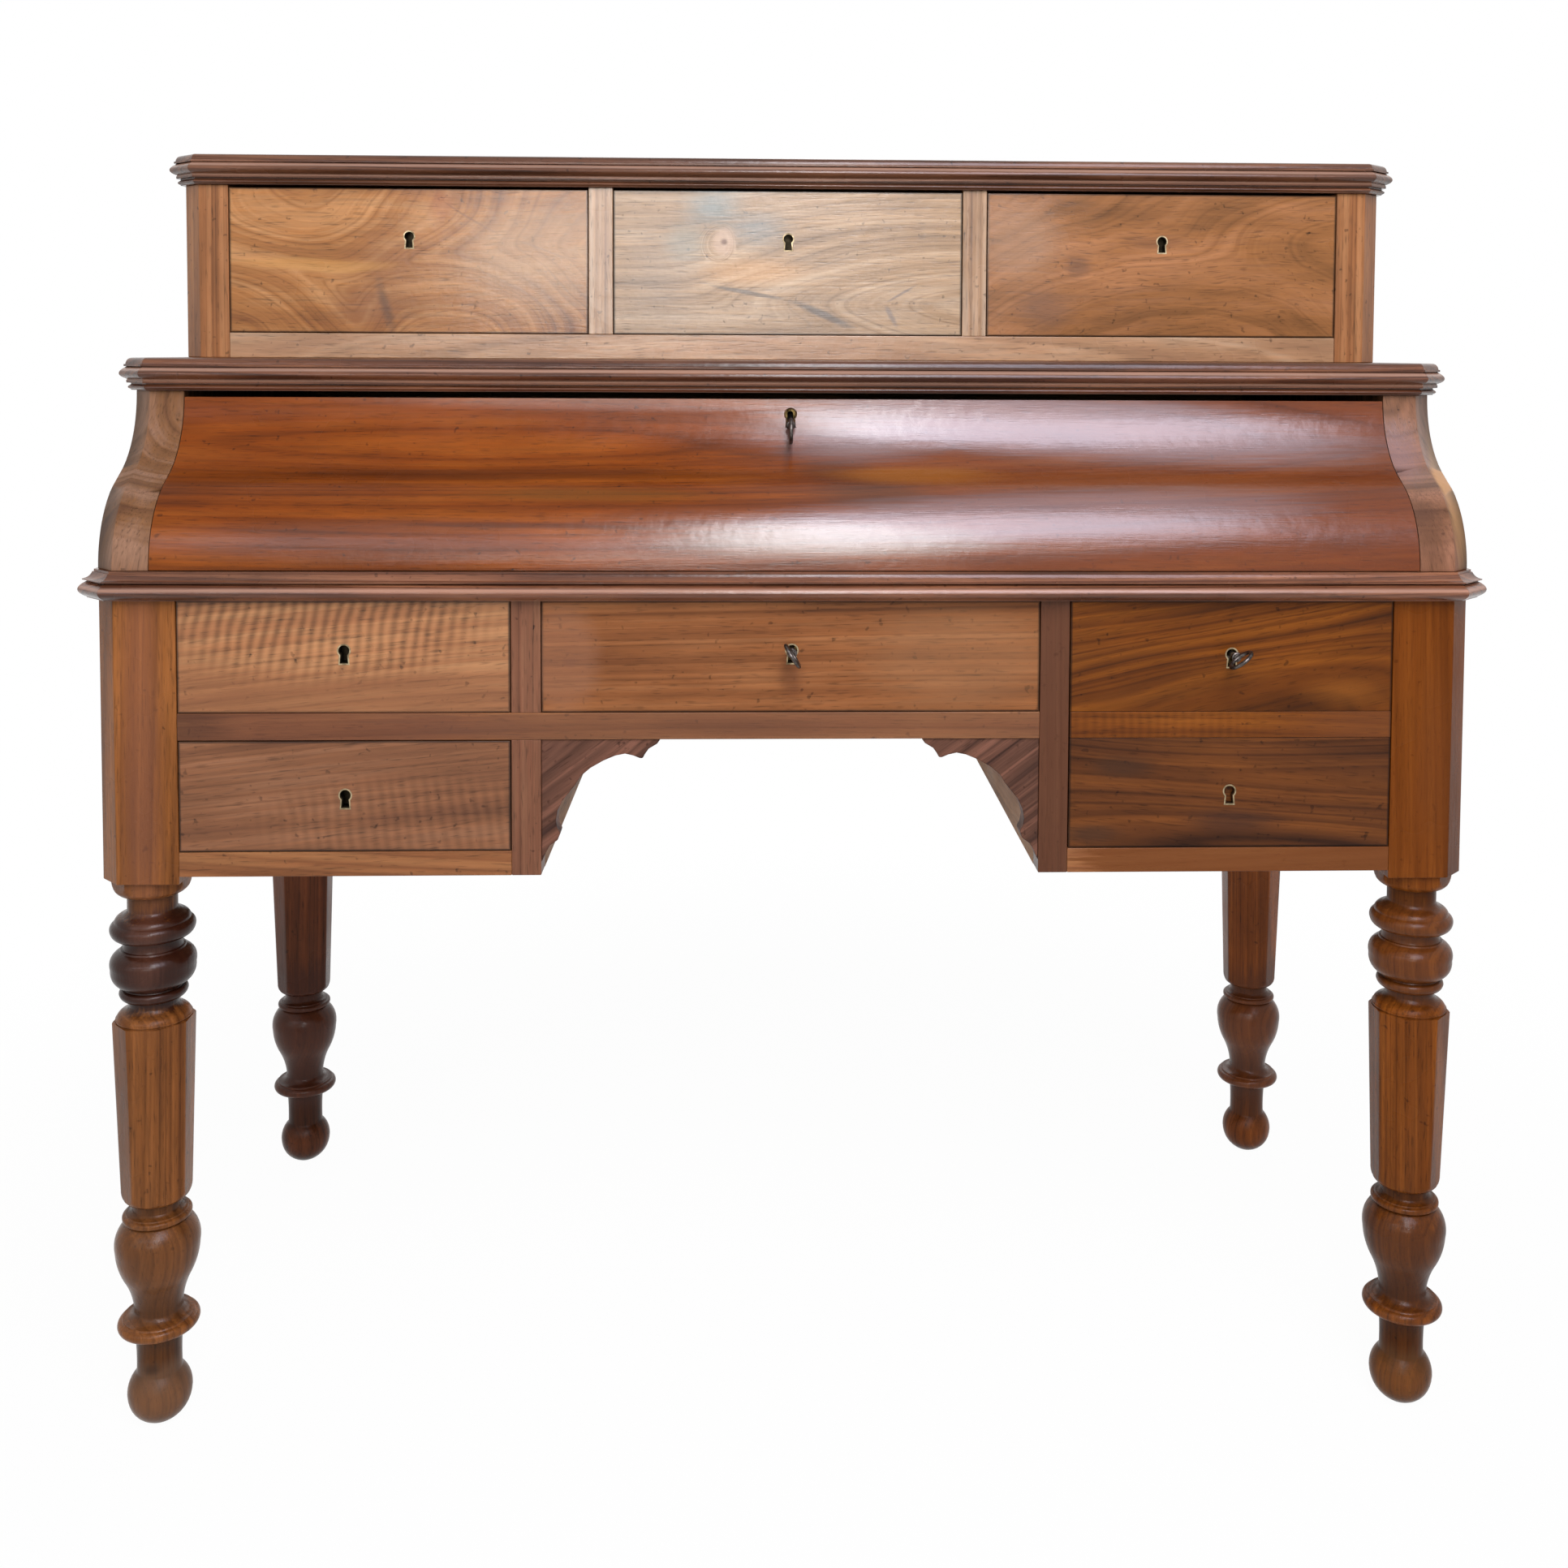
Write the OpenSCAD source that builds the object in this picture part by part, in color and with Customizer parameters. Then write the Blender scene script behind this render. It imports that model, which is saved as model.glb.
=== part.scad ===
// Walnut cylinder desk on four turned legs. Millimetres, Z up, the front faces -Y.
// The origin is on the floor, under the middle of the desk's bounding box.

/* [Case] */
// Width of the case over its corner posts
case_w = 1220; // [1100:10:1340]
// Depth of the case from its front face to its back
case_d = 560; // [500:10:640]
// Width of each square corner post
post_w = 73; // [66:1:80]
// Chamfer on the outer front corners, the same all the way up
chamfer = 19; // [12:1:26]
// Clear width of each pedestal between its post and its stile
pedestal_w = 290.5; // [250:5:330]
// Width of the stiles beside the knee space
stile_w = 26; // [22:1:32]
// Depth of the front rails and stiles
rail_d = 25; // [20:1:32]
// Height of the rail under the upper drawers
mid_rail_h = 24; // [18:1:32]
// Height of the rails under the pedestals
bottom_rail_h = 22; // [18:1:30]
// Height of the opening of the upper drawers
upper_open_h = 100; // [85:1:120]
// Height of the opening of the lower drawers
lower_open_h = 99; // [85:1:120]
// How far the posts reach below the bottom rails
post_drop = 7; // [2:1:10]
// Thickness of the side panels
side_t = 20; // [16:1:26]
// Thickness of the back boards
back_t = 12; // [9:1:18]
// Thickness of the dust boards inside the case
dust_t = 10; // [7:1:14]
// Height of the strips that guide the drawers
guide_h = 24; // [18:1:34]
// Width of the strips that carry the centre drawer
runner_w = 20; // [14:1:30]

/* [Legs] */
// Diameter of the ball foot
foot_d = 56; // [48:1:62]
// Depth of the flat that the ball foot stands on
foot_flat = 2; // [1:0.5:4]
// Diameter of the neck above the ball foot
foot_neck_d = 40; // [34:1:46]
// Height of the lower disc above the floor
foot_rise = 85; // [72:1:98]
// Height of the lower disc
lower_disc_h = 18; // [14:1:24]
// Diameter of the lower disc
lower_disc_d = 71; // [62:1:78]
// Height of the vase
vase_h = 84; // [70:1:100]
// Diameter of the vase at its widest
vase_d = 73; // [64:1:80]
// Diameter of the neck under the vase
vase_neck_d = 41; // [36:1:48]
// Height of the upper disc
upper_disc_h = 10; // [8:1:14]
// Diameter of the upper disc
upper_disc_d = 60; // [54:1:66]
// Height of the neck under the octagonal shaft
shaft_neck_h = 8; // [5:1:14]
// Diameter of the plain necks above and below the shaft
shaft_neck_d = 43; // [36:1:48]
// Height of the octagonal shaft
shaft_h = 167; // [120:1:220]
// Width of the shaft over its corners at the top
shaft_top_d = 71; // [62:1:76]
// Width of the shaft over its corners at the bottom
shaft_bottom_d = 61; // [54:1:70]
// Height of the flare above the shaft
flare_h = 14; // [10:1:20]
// Height of the small ring with its neck
small_ring_h = 16; // [12:1:22]
// Diameter of the small ring
small_ring_d = 59; // [52:1:66]
// Height of the bulb
bulb_h = 35; // [28:1:44]
// Diameter of the bulb
bulb_d = 73; // [64:1:78]
// Height of the neck above the bulb
ring_neck_h = 9; // [6:1:14]
// Diameter of the neck above the bulb
ring_neck_d = 52; // [46:1:56]
// Height of the top ring with its slope
top_ring_h = 27; // [18:1:32]
// Diameter of the top ring
top_ring_d = 73; // [66:1:78]
// Height of the neck under the collar
collar_neck_h = 13; // [8:1:18]
// Height of the eight-sided collar under the post
collar_h = 18; // [14:1:26]
// Width of the collar over its corners
collar_d = 68; // [60:1:73]

/* [Table and cylinder] */
// Thickness of the writing board and its moulding
table_t = 25; // [20:1:32]
// How far the table moulding stands out
table_over = 16; // [11:1:22]
// Height of the cheeks and of the cylinder between them
cheek_h = 155; // [140:1:180]
// How far the cheeks' tops lie behind their feet
cheek_back = 97; // [80:1:115]
// Thickness of the cheeks
cheek_t = 50; // [44:1:60]
// Thickness of the cylinder panel
panel_t = 20; // [16:1:24]
// Gap above the cylinder panel, which its swing needs
panel_top_gap = 6; // [5:0.5:9]
// Gap at the cylinder panel's ends and foot
panel_gap = 0.8; // [0.5:0.1:1.5]
// Distance of the pivot behind the case front
pivot_back = 122; // [105:1:128]
// Height of the pivot over the writing board
pivot_up = 17; // [15:1:22]
// Diameter of the pivot pins
pivot_d = 10; // [8:0.5:12]
// Radial clearance of the pivot pins
pivot_fit = 0.05; // [0.02:0.01:0.1]
// Thickness of the pivot plates in the cheeks
plate_t = 6; // [4:0.5:8]
// Thickness of the arms at the panel's ends
arm_t = 12; // [9:1:18]
// Angle that the cylinder swings back to
open_angle = 62; // [56:1:70]
// Height of the arms' heels, which rest on the writing board when it is open
heel_h = 22; // [14:1:26]
// Shank diameter of the screws that hold the pivot plates
screw_d = 4; // [3:0.5:5]
// Length of the screws that hold the pivot plates
screw_l = 22; // [16:1:30]

/* [Upper case] */
// Thickness of the waist board and its moulding
waist_t = 30; // [24:1:36]
// How far the waist moulding stands out
waist_over = 15; // [11:1:20]
// How far the upper case's front lies behind the case front
gradin_back_by = 238; // [200:2:280]
// Width of the upper case's corner posts
gradin_post_w = 48; // [42:1:56]
// Width of the upper case's stiles
gradin_stile_w = 24.5; // [20:0.5:30]
// Clear width of the upper case's middle opening
gradin_mid_w = 355; // [300:5:400]
// Height of the rail under the upper case's drawers
gradin_rail_h = 25; // [20:1:32]
// Height of the upper case's drawer openings
gradin_open_h = 148; // [120:1:170]
// Thickness of the cornice board and its moulding
cornice_t = 30; // [24:1:36]
// How far the cornice moulding stands out
cornice_over = 14; // [11:1:20]

/* [Knee brackets] */
// Width of the knee brackets along the rail
bracket_w = 105; // [85:1:125]
// Height of the knee brackets down the stile
bracket_h = 110; // [90:1:115]
// Thickness of the knee brackets
bracket_t = 20; // [14:1:24]
// How far the knee brackets lie behind the case front
bracket_inset = 2; // [0:0.5:5]

/* [Drawers] */
// Thickness of the drawer fronts
front_t = 20; // [18:1:24]
// Gap round the drawer fronts
drawer_gap = 0.8; // [0.5:0.1:1.5]
// Gap above the upper case's drawer fronts
gradin_top_gap = 2.5; // [1:0.5:4]
// Thickness of the drawer sides and backs
drawer_side_t = 10; // [8:1:14]
// Thickness of the drawer bottoms
drawer_bottom_t = 6; // [4:1:8]
// How far the drawer sides stay below the fronts' top edges
drawer_side_drop = 8; // [4:1:14]
// Free space behind the closed drawers
drawer_rear_gap = 20; // [10:1:40]

/* [Locks and keys] */
// Width of the drawer locks
lock_w = 56; // [48:1:66]
// Depth of the locks behind the keyhole
lock_t = 12; // [11:0.5:14]
// Reach of the locks below the keyhole
lock_below = 14; // [12:1:18]
// Height of the drawers' keyholes below the fronts' top edges
keyhole_down = 48; // [40:1:56]
// The same for the upper left and the centre drawer
upper_keyhole_down = 44; // [40:1:56]
// Height of the cylinder's keyhole below the panel's top edge
panel_keyhole_down = 14; // [13:1:20]
// Outer diameter of the keyhole liner's round top
liner_d = 12; // [10.5:0.5:14]
// Reach of the keyhole liner below the keyhole's centre
liner_drop = 12.5; // [11:0.5:15]
// Width of the keyhole liner's waist, under the round top
liner_waist_w = 7.8; // [7.6:0.1:9]
// Width of the keyhole liner's foot
liner_foot_w = 9.8; // [9:0.1:11]
// Wall of the keyhole liner
liner_wall = 1.2; // [0.8:0.1:1.6]
// Depth of the keyhole liner
liner_depth = 7; // [5:0.5:8]
// Width of the lock bolts
bolt_w = 18; // [14:1:24]
// Thickness of the lock bolts
bolt_t = 3; // [2:0.5:4]
// Travel of the lock bolts
bolt_throw = 9; // [7:0.5:10]
// Diameter of the key shanks
shank_d = 5.6; // [4.5:0.1:6.5]
// How far the keys stand out of the fronts
key_stand = 40; // [32:1:46]
// Length of the key bows along the shank
bow_l = 24; // [20:1:28]
// Width of the key bows
bow_w = 25; // [22:1:32]
// Width of the metal round the key bows
bow_rim = 4; // [3:0.5:5]
// Thickness of the key bows
bow_t = 3.4; // [2.6:0.2:4.4]
// Reach of the drawer keys' bits from the shank's centre
bit_reach = 8; // [7:0.5:9]
// Reach of the cylinder key's bit from the shank's centre
panel_bit_reach = 4.8; // [4:0.2:5]
// Lean of the centre drawer's key bow from upright to the right
centre_key_turn = -33; // [-90:1:0]
// Lean of the right drawer's key bow from upright to the right
right_key_turn = 52; // [0:1:90]
// Droop of the key that hangs in the cylinder's lock
panel_key_droop = 20; // [15:1:22]

/* [Hidden] */
$fn = 48;
// Glue line between boards of one node
glue = 0.1;
// Running gap between a drawer and what it slides on
slide_gap = 0.5;
// Clearance round a lock and a liner in their pockets
lock_fit = 0.2;
// Overshoot of a cut past the face that it leaves through
over = 1;
// Running gap round a bolt, and the wall of the lock cases
bolt_gap = 0.4;
lock_wall = 1.6;
// Gap between a key's end and the bolt behind it
key_gap = 0.7;
// Room beside a bolt for the key's bit, and under it for the bolt's foot
bit_room = 2;
foot_room = 1;
// Thickness of the key bits, and their length along the shank
bit_t = 2.2;
bit_l = 3;
panel_bit_l = 1;
// Collar on a key's shank: width outside the shank, length and distance from the bow
key_collar_w = 1.5;
key_collar_l = 3;
key_collar_gap = 1;
// How far a pivot pin stays short of its plate's outer face
pin_recess = 0.5;
// Gap under the arms' heels when the cylinder is open
heel_gap = 0.4;
// Rise of the drawer bottoms above the sides' lower edges
bottom_rise = 3;
// Share of the shaft neck's radius inside which the shaft's and the collar's round starts
round_start = 0.94;

// Heights of the leg's members over the floor, from the foot up
z_vase = foot_rise + lower_disc_h;
z_upper_disc = z_vase + vase_h;
z_shaft_neck = z_upper_disc + upper_disc_h;
z_shaft = z_shaft_neck + shaft_neck_h;
z_flare = z_shaft + shaft_h;
z_small_ring = z_flare + flare_h;
z_bulb = z_small_ring + small_ring_h;
z_ring_neck = z_bulb + bulb_h;
z_top_ring = z_ring_neck + ring_neck_h;
z_collar_neck = z_top_ring + top_ring_h;
z_collar = z_collar_neck + collar_neck_h;
leg_h = z_collar + collar_h;

// Heights of the case
z_rail = leg_h + post_drop;
z_low0 = z_rail + bottom_rail_h;
z_low1 = z_low0 + lower_open_h;
z_up0 = z_low1 + mid_rail_h;
z_case = z_up0 + upper_open_h;
z_table = z_case + table_t;
z_waist = z_table + cheek_h;
z_gradin = z_waist + waist_t;
z_deck = z_gradin + gradin_rail_h;
z_cornice = z_deck + gradin_open_h;

// Plan of the case
half_w = case_w / 2;
front_reach = max(key_stand, table_over);
y_front = (front_reach - case_d) / 2;
y_back = y_front + case_d;
y_inner_back = y_back - back_t;
x_post = half_w - post_w;
x_stile = x_post - pedestal_w;
x_knee = x_stile - stile_w;
x_cheek = half_w - cheek_t;
y_cheek_top = y_front + cheek_back;
y_gradin = y_front + gradin_back_by;
x_gradin_post = half_w - gradin_post_w;
x_gradin_mid = gradin_mid_w / 2;
x_gradin_side = x_gradin_mid + gradin_stile_w;

// Height and arcs of the cylinder panel: two equal arcs, hollow above and round below
panel_top = cheek_h - panel_top_gap;
arc_angle = 2 * atan(cheek_back / cheek_h);
arc_r = cheek_h / 2 / sin(arc_angle);
y_pivot = y_front + pivot_back;
plate_reach = 3 * pivot_d;
z_pivot = z_table + pivot_up;

// Places of the keys and locks
panel_key_z = z_table + panel_top - panel_keyhole_down;
panel_key_y = y_front + ogee_depth(panel_key_z - z_table);
lock_top_y = y_front + ogee_depth(panel_top);

// Drawers: left, right, foot, height, front face, depth and drop to the keyhole of each
gradin_d = y_inner_back - y_gradin - drawer_rear_gap;
case_drawer_d = y_inner_back - y_front - drawer_rear_gap;
gradin_front_h = gradin_open_h - slide_gap - gradin_top_gap;
upper_front_h = upper_open_h - slide_gap - drawer_gap;
lower_front_h = lower_open_h - slide_gap - drawer_gap;
deep_front_h = z_case - z_low0 - slide_gap - drawer_gap;
GRADIN_LEFT = [-x_gradin_post, -x_gradin_side, z_deck, gradin_front_h, y_gradin, gradin_d, keyhole_down];
GRADIN_MID = [-x_gradin_mid, x_gradin_mid, z_deck, gradin_front_h, y_gradin, gradin_d, keyhole_down];
GRADIN_RIGHT = [x_gradin_side, x_gradin_post, z_deck, gradin_front_h, y_gradin, gradin_d, keyhole_down];
UPPER_LEFT = [-x_post, -x_stile, z_up0, upper_front_h, y_front, case_drawer_d, upper_keyhole_down];
LOWER_LEFT = [-x_post, -x_stile, z_low0, lower_front_h, y_front, case_drawer_d, keyhole_down];
CENTRE = [-x_knee, x_knee, z_up0, upper_front_h, y_front, case_drawer_d, upper_keyhole_down];
DEEP = [x_stile, x_post, z_low0, deep_front_h, y_front, case_drawer_d, keyhole_down];

// Depth of the ogee behind the case front at height z over the table
function ogee_depth(z) =
  z <= cheek_h / 2
    ? arc_r - sqrt(arc_r * arc_r - z * z)
    : cheek_back - arc_r + sqrt(arc_r * arc_r - (cheek_h - z) * (cheek_h - z));

// Height at a share of a member that starts at height z
function z_in(z, h, share) = z + share * h;

// Outline pieces of a turning, each a list of radius and height going up
function bulge(r0, r1, z0, z1, n = 8) =
  [for (i = [0:n]) [r0 + (r1 - r0) * sin(180 * i / n), z0 + (z1 - z0) * (1 - cos(180 * i / n)) / 2]];
function swell(r0, r1, z0, z1, n = 10) =
  [for (i = [0:n]) [r0 + (r1 - r0) * (1 - cos(180 * i / n)) / 2, z0 + (z1 - z0) * i / n]];
function shoulder(r0, r1, z0, z1, n = 6) =
  [for (i = [1:n]) [r1 + (r0 - r1) * cos(90 * i / n), z0 + (z1 - z0) * sin(90 * i / n)]];
function cove(r0, r1, z0, z1, n = 6) =
  [for (i = [0:n]) [r0 - (r0 - r1) * sin(90 * i / n), z1 - (z1 - z0) * cos(90 * i / n)]];

// Sections of the mouldings: distance out from the board and height, starting at the board's foot
function half_round(d0, d1, z0, z1, n = 8) =
  [for (i = [0:n]) [d0 + (d1 - d0) * sin(180 * i / n), z0 + (z1 - z0) * (1 - cos(180 * i / n)) / 2]];
function top_section(t, out) = concat(
  [[0, 0]],
  half_round(0.3 * out, 0.5 * out, 0.02 * t, 0.17 * t, 6),
  [[0.36 * out, 0.21 * t], [0.56 * out, 0.24 * t], [0.56 * out, 0.3 * t]],
  half_round(0.6 * out, out, 0.34 * t, 0.71 * t, 10),
  [[0.68 * out, 0.73 * t], [0.68 * out, 0.79 * t]],
  [for (i = [0:5]) [0.08 * out + 0.5 * out * cos(18 * i), (0.82 + 0.18 * sin(18 * i)) * t]],
  [[0, t]]
);
function table_section(t, out) = concat(
  [[0, 0]],
  half_round(0.55 * out, out, 0.02 * t, 0.58 * t, 10),
  [[0.55 * out, 0.62 * t]],
  [for (i = [0:6]) [0.76 * out - 0.5 * out * i / 6 - 0.06 * out * sin(60 * i), (0.64 + 0.28 * i / 6) * t]],
  [[0.2 * out, 0.93 * t], [0.2 * out, t], [0, t]]
);

// Plan of a slab whose front is at y, with chamfered front corners
function slab_plan(y) = [
  [-half_w, y_back], [-half_w, y + chamfer], [-half_w + chamfer, y],
  [half_w - chamfer, y], [half_w, y + chamfer], [half_w, y_back]
];

// Box between two corners
module board(x0, x1, y0, y1, z0, z1) {
  translate([x0, y0, z0]) cube([x1 - x0, y1 - y0, z1 - z0]);
}

// The same board on the left and on the right
module both_sides() {
  children();
  mirror([1, 0, 0]) children();
}

// Solid between rings of points that all have the same number of corners
module loft(rings) {
  n = len(rings[0]);
  last = len(rings) - 1;
  polyhedron(
    points = [for (ring = rings, p = ring) p],
    faces = concat(
      [[for (i = [n - 1:-1:0]) i]],
      [for (k = [0:last - 1], i = [0:n - 1])
        [k * n + i, k * n + (i + 1) % n, (k + 1) * n + (i + 1) % n, (k + 1) * n + i]],
      [[for (i = [0:n - 1]) last * n + i]]
    )
  );
}

// Moulding strips round the left, front and right of a slab, mitred at every corner
module moulding(y, z, section) {
  plan = slab_plan(y);
  count = len(plan);
  way = [for (k = [0:count - 2]) (plan[k + 1] - plan[k]) / norm(plan[k + 1] - plan[k])];
  out = [for (k = [0:count - 2]) [way[k][1], -way[k][0]] * -1];
  mitre = [for (k = [0:count - 1])
    k == 0 ? out[0]
    : k == count - 1 ? out[count - 2]
    : (out[k - 1] + out[k]) / (1 + out[k - 1] * out[k])];
  for (k = [0:count - 2]) {
    first = plan[k] + way[k] * (k == 0 ? 0 : glue / 2);
    second = plan[k + 1] - way[k] * (k == count - 2 ? 0 : glue / 2);
    loft([
      [for (s = section) let (p = first - mitre[k] * s[0]) [p[0], p[1], z + s[1]]],
      [for (s = section) let (p = second - mitre[k + 1] * s[0]) [p[0], p[1], z + s[1]]]
    ]);
  }
}

// Mortise in the underside of a board for a lock bolt
module bolt_mortise(x, y, z) {
  board(
    x - bolt_w / 2 - over, x + bolt_w / 2 + over,
    y - over, y + bolt_t + over,
    z - over, z + bolt_throw + over
  );
}

// Where a drawer's bolt stands, from the front face back
function bolt_y(front) = front + front_t - lock_wall - bolt_gap - bolt_t;
function mid_x(d) = (d[0] + d[1]) / 2;
function top_z(d) = d[2] + slide_gap + d[3];
function key_z(d) = top_z(d) - d[6];

// Turned leg with its post in one piece; sx and sy give the corner that it stands at
module leg(sx, sy) {
  cx = sx * (half_w - post_w / 2);
  cy = sy < 0 ? y_front + post_w / 2 : y_back - post_w / 2;
  ball_z = foot_d / 2 - foot_flat;
  neck_r = shaft_neck_d / 2;
  quirk = 0.02;
  turning = concat(
    [[0, ball_z], [0.475 * foot_neck_d, ball_z], [0.525 * foot_neck_d, foot_rise]],
    bulge(0.42 * lower_disc_d, lower_disc_d / 2,
      z_in(foot_rise, lower_disc_h, 0.06), z_in(foot_rise, lower_disc_h, 0.62)),
    cove(0.44 * lower_disc_d, vase_neck_d / 2, z_in(foot_rise, lower_disc_h, 0.66), z_vase),
    swell(vase_neck_d / 2, vase_d / 2, z_in(z_vase, vase_h, quirk), z_in(z_vase, vase_h, 0.7)),
    shoulder(vase_d / 2, 0.45 * upper_disc_d, z_in(z_vase, vase_h, 0.7), z_upper_disc),
    bulge(0.46 * upper_disc_d, upper_disc_d / 2,
      z_in(z_upper_disc, upper_disc_h, 0.04), z_in(z_upper_disc, upper_disc_h, 0.6), 6),
    cove(0.46 * upper_disc_d, neck_r, z_in(z_upper_disc, upper_disc_h, 0.65), z_shaft_neck),
    [[neck_r, z_in(z_shaft_neck, shaft_neck_h, 0.06)], [neck_r, z_shaft + over], [neck_r, z_flare - over]],
    [[0.45 * shaft_top_d, z_flare - over], [0.45 * shaft_top_d, z_in(z_flare, flare_h, 0.1)]],
    swell(0.46 * shaft_top_d, neck_r, z_in(z_flare, flare_h, 0.18), z_small_ring),
    [[neck_r, z_in(z_small_ring, small_ring_h, 0.3)]],
    bulge(0.38 * small_ring_d, small_ring_d / 2,
      z_in(z_small_ring, small_ring_h, 0.34), z_in(z_small_ring, small_ring_h, 1 - quirk)),
    swell(0.36 * bulb_d, bulb_d / 2, z_bulb, z_in(z_bulb, bulb_h, 0.56)),
    shoulder(bulb_d / 2, 0.38 * bulb_d, z_in(z_bulb, bulb_h, 0.56), z_ring_neck),
    [[ring_neck_d / 2, z_in(z_ring_neck, ring_neck_h, 0.04)], [0.49 * ring_neck_d, z_top_ring]],
    bulge(0.39 * top_ring_d, top_ring_d / 2,
      z_in(z_top_ring, top_ring_h, quirk), z_in(z_top_ring, top_ring_h, 0.6)),
    swell(0.44 * top_ring_d, neck_r, z_in(z_top_ring, top_ring_h, 0.63), z_collar_neck),
    [[neck_r, z_in(z_collar_neck, collar_neck_h, 0.08)], [neck_r, z_collar + over], [0, z_collar + over]]
  );
  color("saddlebrown") translate([cx, cy, 0]) {
    intersection() {
      translate([0, 0, ball_z]) sphere(d = foot_d);
      board(-foot_d, foot_d, -foot_d, foot_d, 0, foot_d);
    }
    rotate_extrude() polygon(turning);
    leg_shaft();
    leg_collar();
    leg_post(sx, sy);
  }
}

// Tapered octagon, cut from four crossed wedges and rounded in at its foot
module leg_shaft() {
  half_top = shaft_top_d / 2 * cos(22.5);
  half_foot = shaft_bottom_d / 2 * cos(22.5);
  inner_r = round_start * shaft_neck_d / 2;
  round_h = 0.07 * shaft_h;
  intersection() {
    intersection_for(angle = [0:45:135])
      rotate([90, 0, angle]) linear_extrude(2 * shaft_top_d, center = true)
        polygon([[-half_foot, z_shaft], [half_foot, z_shaft], [half_top, z_flare], [-half_top, z_flare]]);
    rotate_extrude() polygon(concat(
      [[0, z_shaft]],
      [for (i = [0:5]) [inner_r + (shaft_bottom_d / 2 - inner_r) * sin(18 * i),
        z_shaft + round_h * (1 - cos(18 * i))]],
      [[shaft_top_d / 2, z_shaft + 2 * round_h], [shaft_top_d / 2, z_flare], [0, z_flare]]
    ));
  }
}

// Eight-sided collar, rounded in at its foot
module leg_collar() {
  inner_r = round_start * shaft_neck_d / 2;
  round_h = 0.7 * collar_h;
  intersection() {
    translate([0, 0, z_collar]) rotate([0, 0, 22.5]) cylinder(d = collar_d, h = collar_h, $fn = 8);
    rotate_extrude() polygon(concat(
      [[0, z_collar]],
      [for (i = [0:5]) [inner_r + (collar_d / 2 - inner_r) * sin(18 * i),
        z_collar + round_h * (1 - cos(18 * i))]],
      [[collar_d / 2 + over, z_collar + round_h], [collar_d / 2 + over, leg_h], [0, leg_h]]
    ));
  }
}

// Square post of a leg; the front ones are chamfered on their outer corner
module leg_post(sx, sy) {
  h = post_w / 2;
  cut = sy < 0 ? chamfer : 0;
  outline = sy < 0
    ? [[-h, -h], [h - cut, -h], [h, -h + cut], [h, h], [-h, h]]
    : [[-h, -h], [h, -h], [h, h], [-h, h]];
  translate([0, 0, leg_h]) mirror([sx < 0 ? 1 : 0, 0, 0]) linear_extrude(z_case - leg_h) polygon(outline);
}

module front_rails() {
  color("peru") difference() {
    union() {
      board(-x_post, x_knee, y_front, y_front + rail_d, z_low1, z_up0);
      both_sides() board(x_stile, x_post, y_front, y_front + rail_d, z_rail, z_low0);
    }
    bolt_mortise(mid_x(LOWER_LEFT), bolt_y(y_front), z_low1);
  }
}

module case_stiles() {
  color("peru") {
    board(-x_stile, -x_knee, y_front, y_front + rail_d, z_up0, z_case);
    board(-x_stile, -x_knee, y_front, y_front + rail_d, z_rail, z_low1);
    board(x_knee, x_stile, y_front, y_front + rail_d, z_rail, z_case);
  }
}

module side_panels() {
  color("sienna") both_sides()
    board(half_w - side_t, half_w, y_front + post_w, y_back - post_w, z_rail, z_case);
}

module pedestal_walls() {
  color("sienna") both_sides()
    board(x_knee, x_stile, y_front + rail_d, y_inner_back, z_rail, z_case);
}

module lower_back() {
  color("sienna") {
    board(-x_post, x_post, y_inner_back, y_back, z_low1, z_case);
    both_sides() board(x_knee, x_post, y_inner_back, y_back, z_rail, z_low1 - glue);
  }
}

module dust_boards() {
  color("burlywood") {
    both_sides()
      board(x_stile, x_post, y_front + rail_d, y_inner_back, z_low0 - dust_t, z_low0);
    board(-x_post, -x_stile, y_front + rail_d, y_inner_back, z_up0 - dust_t, z_up0);
  }
}

// Strips beside the drawers between the posts, and the runners of the centre drawer
module drawer_guides() {
  color("burlywood") {
    both_sides()
      board(x_post, half_w - side_t, y_front + post_w, y_back - post_w, z_low0 - dust_t, z_low0 + guide_h);
    board(side_t - half_w, -x_post, y_front + post_w, y_back - post_w, z_up0 - dust_t, z_up0 + guide_h);
    both_sides()
      board(x_knee - runner_w, x_knee, y_front + rail_d, y_inner_back, z_up0 - dust_t, z_up0);
  }
}

// Scrolled bracket under the rail, with its outline as shares of its width and height
module knee_bracket() {
  outline = [
    [0, 0], [1, 0], [0.97, 0.04], [0.9, 0.08], [0.87, 0.12], [0.85, 0.155], [0.82, 0.155],
    [0.77, 0.135], [0.7, 0.12], [0.62, 0.135], [0.52, 0.175], [0.41, 0.235], [0.33, 0.3], [0.285, 0.37],
    [0.235, 0.43], [0.175, 0.5], [0.135, 0.58], [0.12, 0.66], [0.13, 0.72], [0.155, 0.765],
    [0.135, 0.82], [0.07, 0.865], [0.035, 0.92], [0, 1]
  ];
  translate([-x_knee, y_front + bracket_inset + bracket_t, z_low1]) rotate([90, 0, 0])
    linear_extrude(bracket_t) polygon([for (p = outline) [p[0] * bracket_w, -p[1] * bracket_h]]);
}

module knee_brackets() {
  color("saddlebrown") both_sides() knee_bracket();
}

module writing_board() {
  color("sienna") difference() {
    translate([0, 0, z_case]) linear_extrude(table_t) polygon(slab_plan(y_front));
    for (d = [UPPER_LEFT, CENTRE, DEEP]) bolt_mortise(mid_x(d), bolt_y(y_front), z_case);
  }
}

module table_moulding() {
  color("maroon") moulding(y_front, z_case, table_section(table_t, table_over));
}

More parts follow.
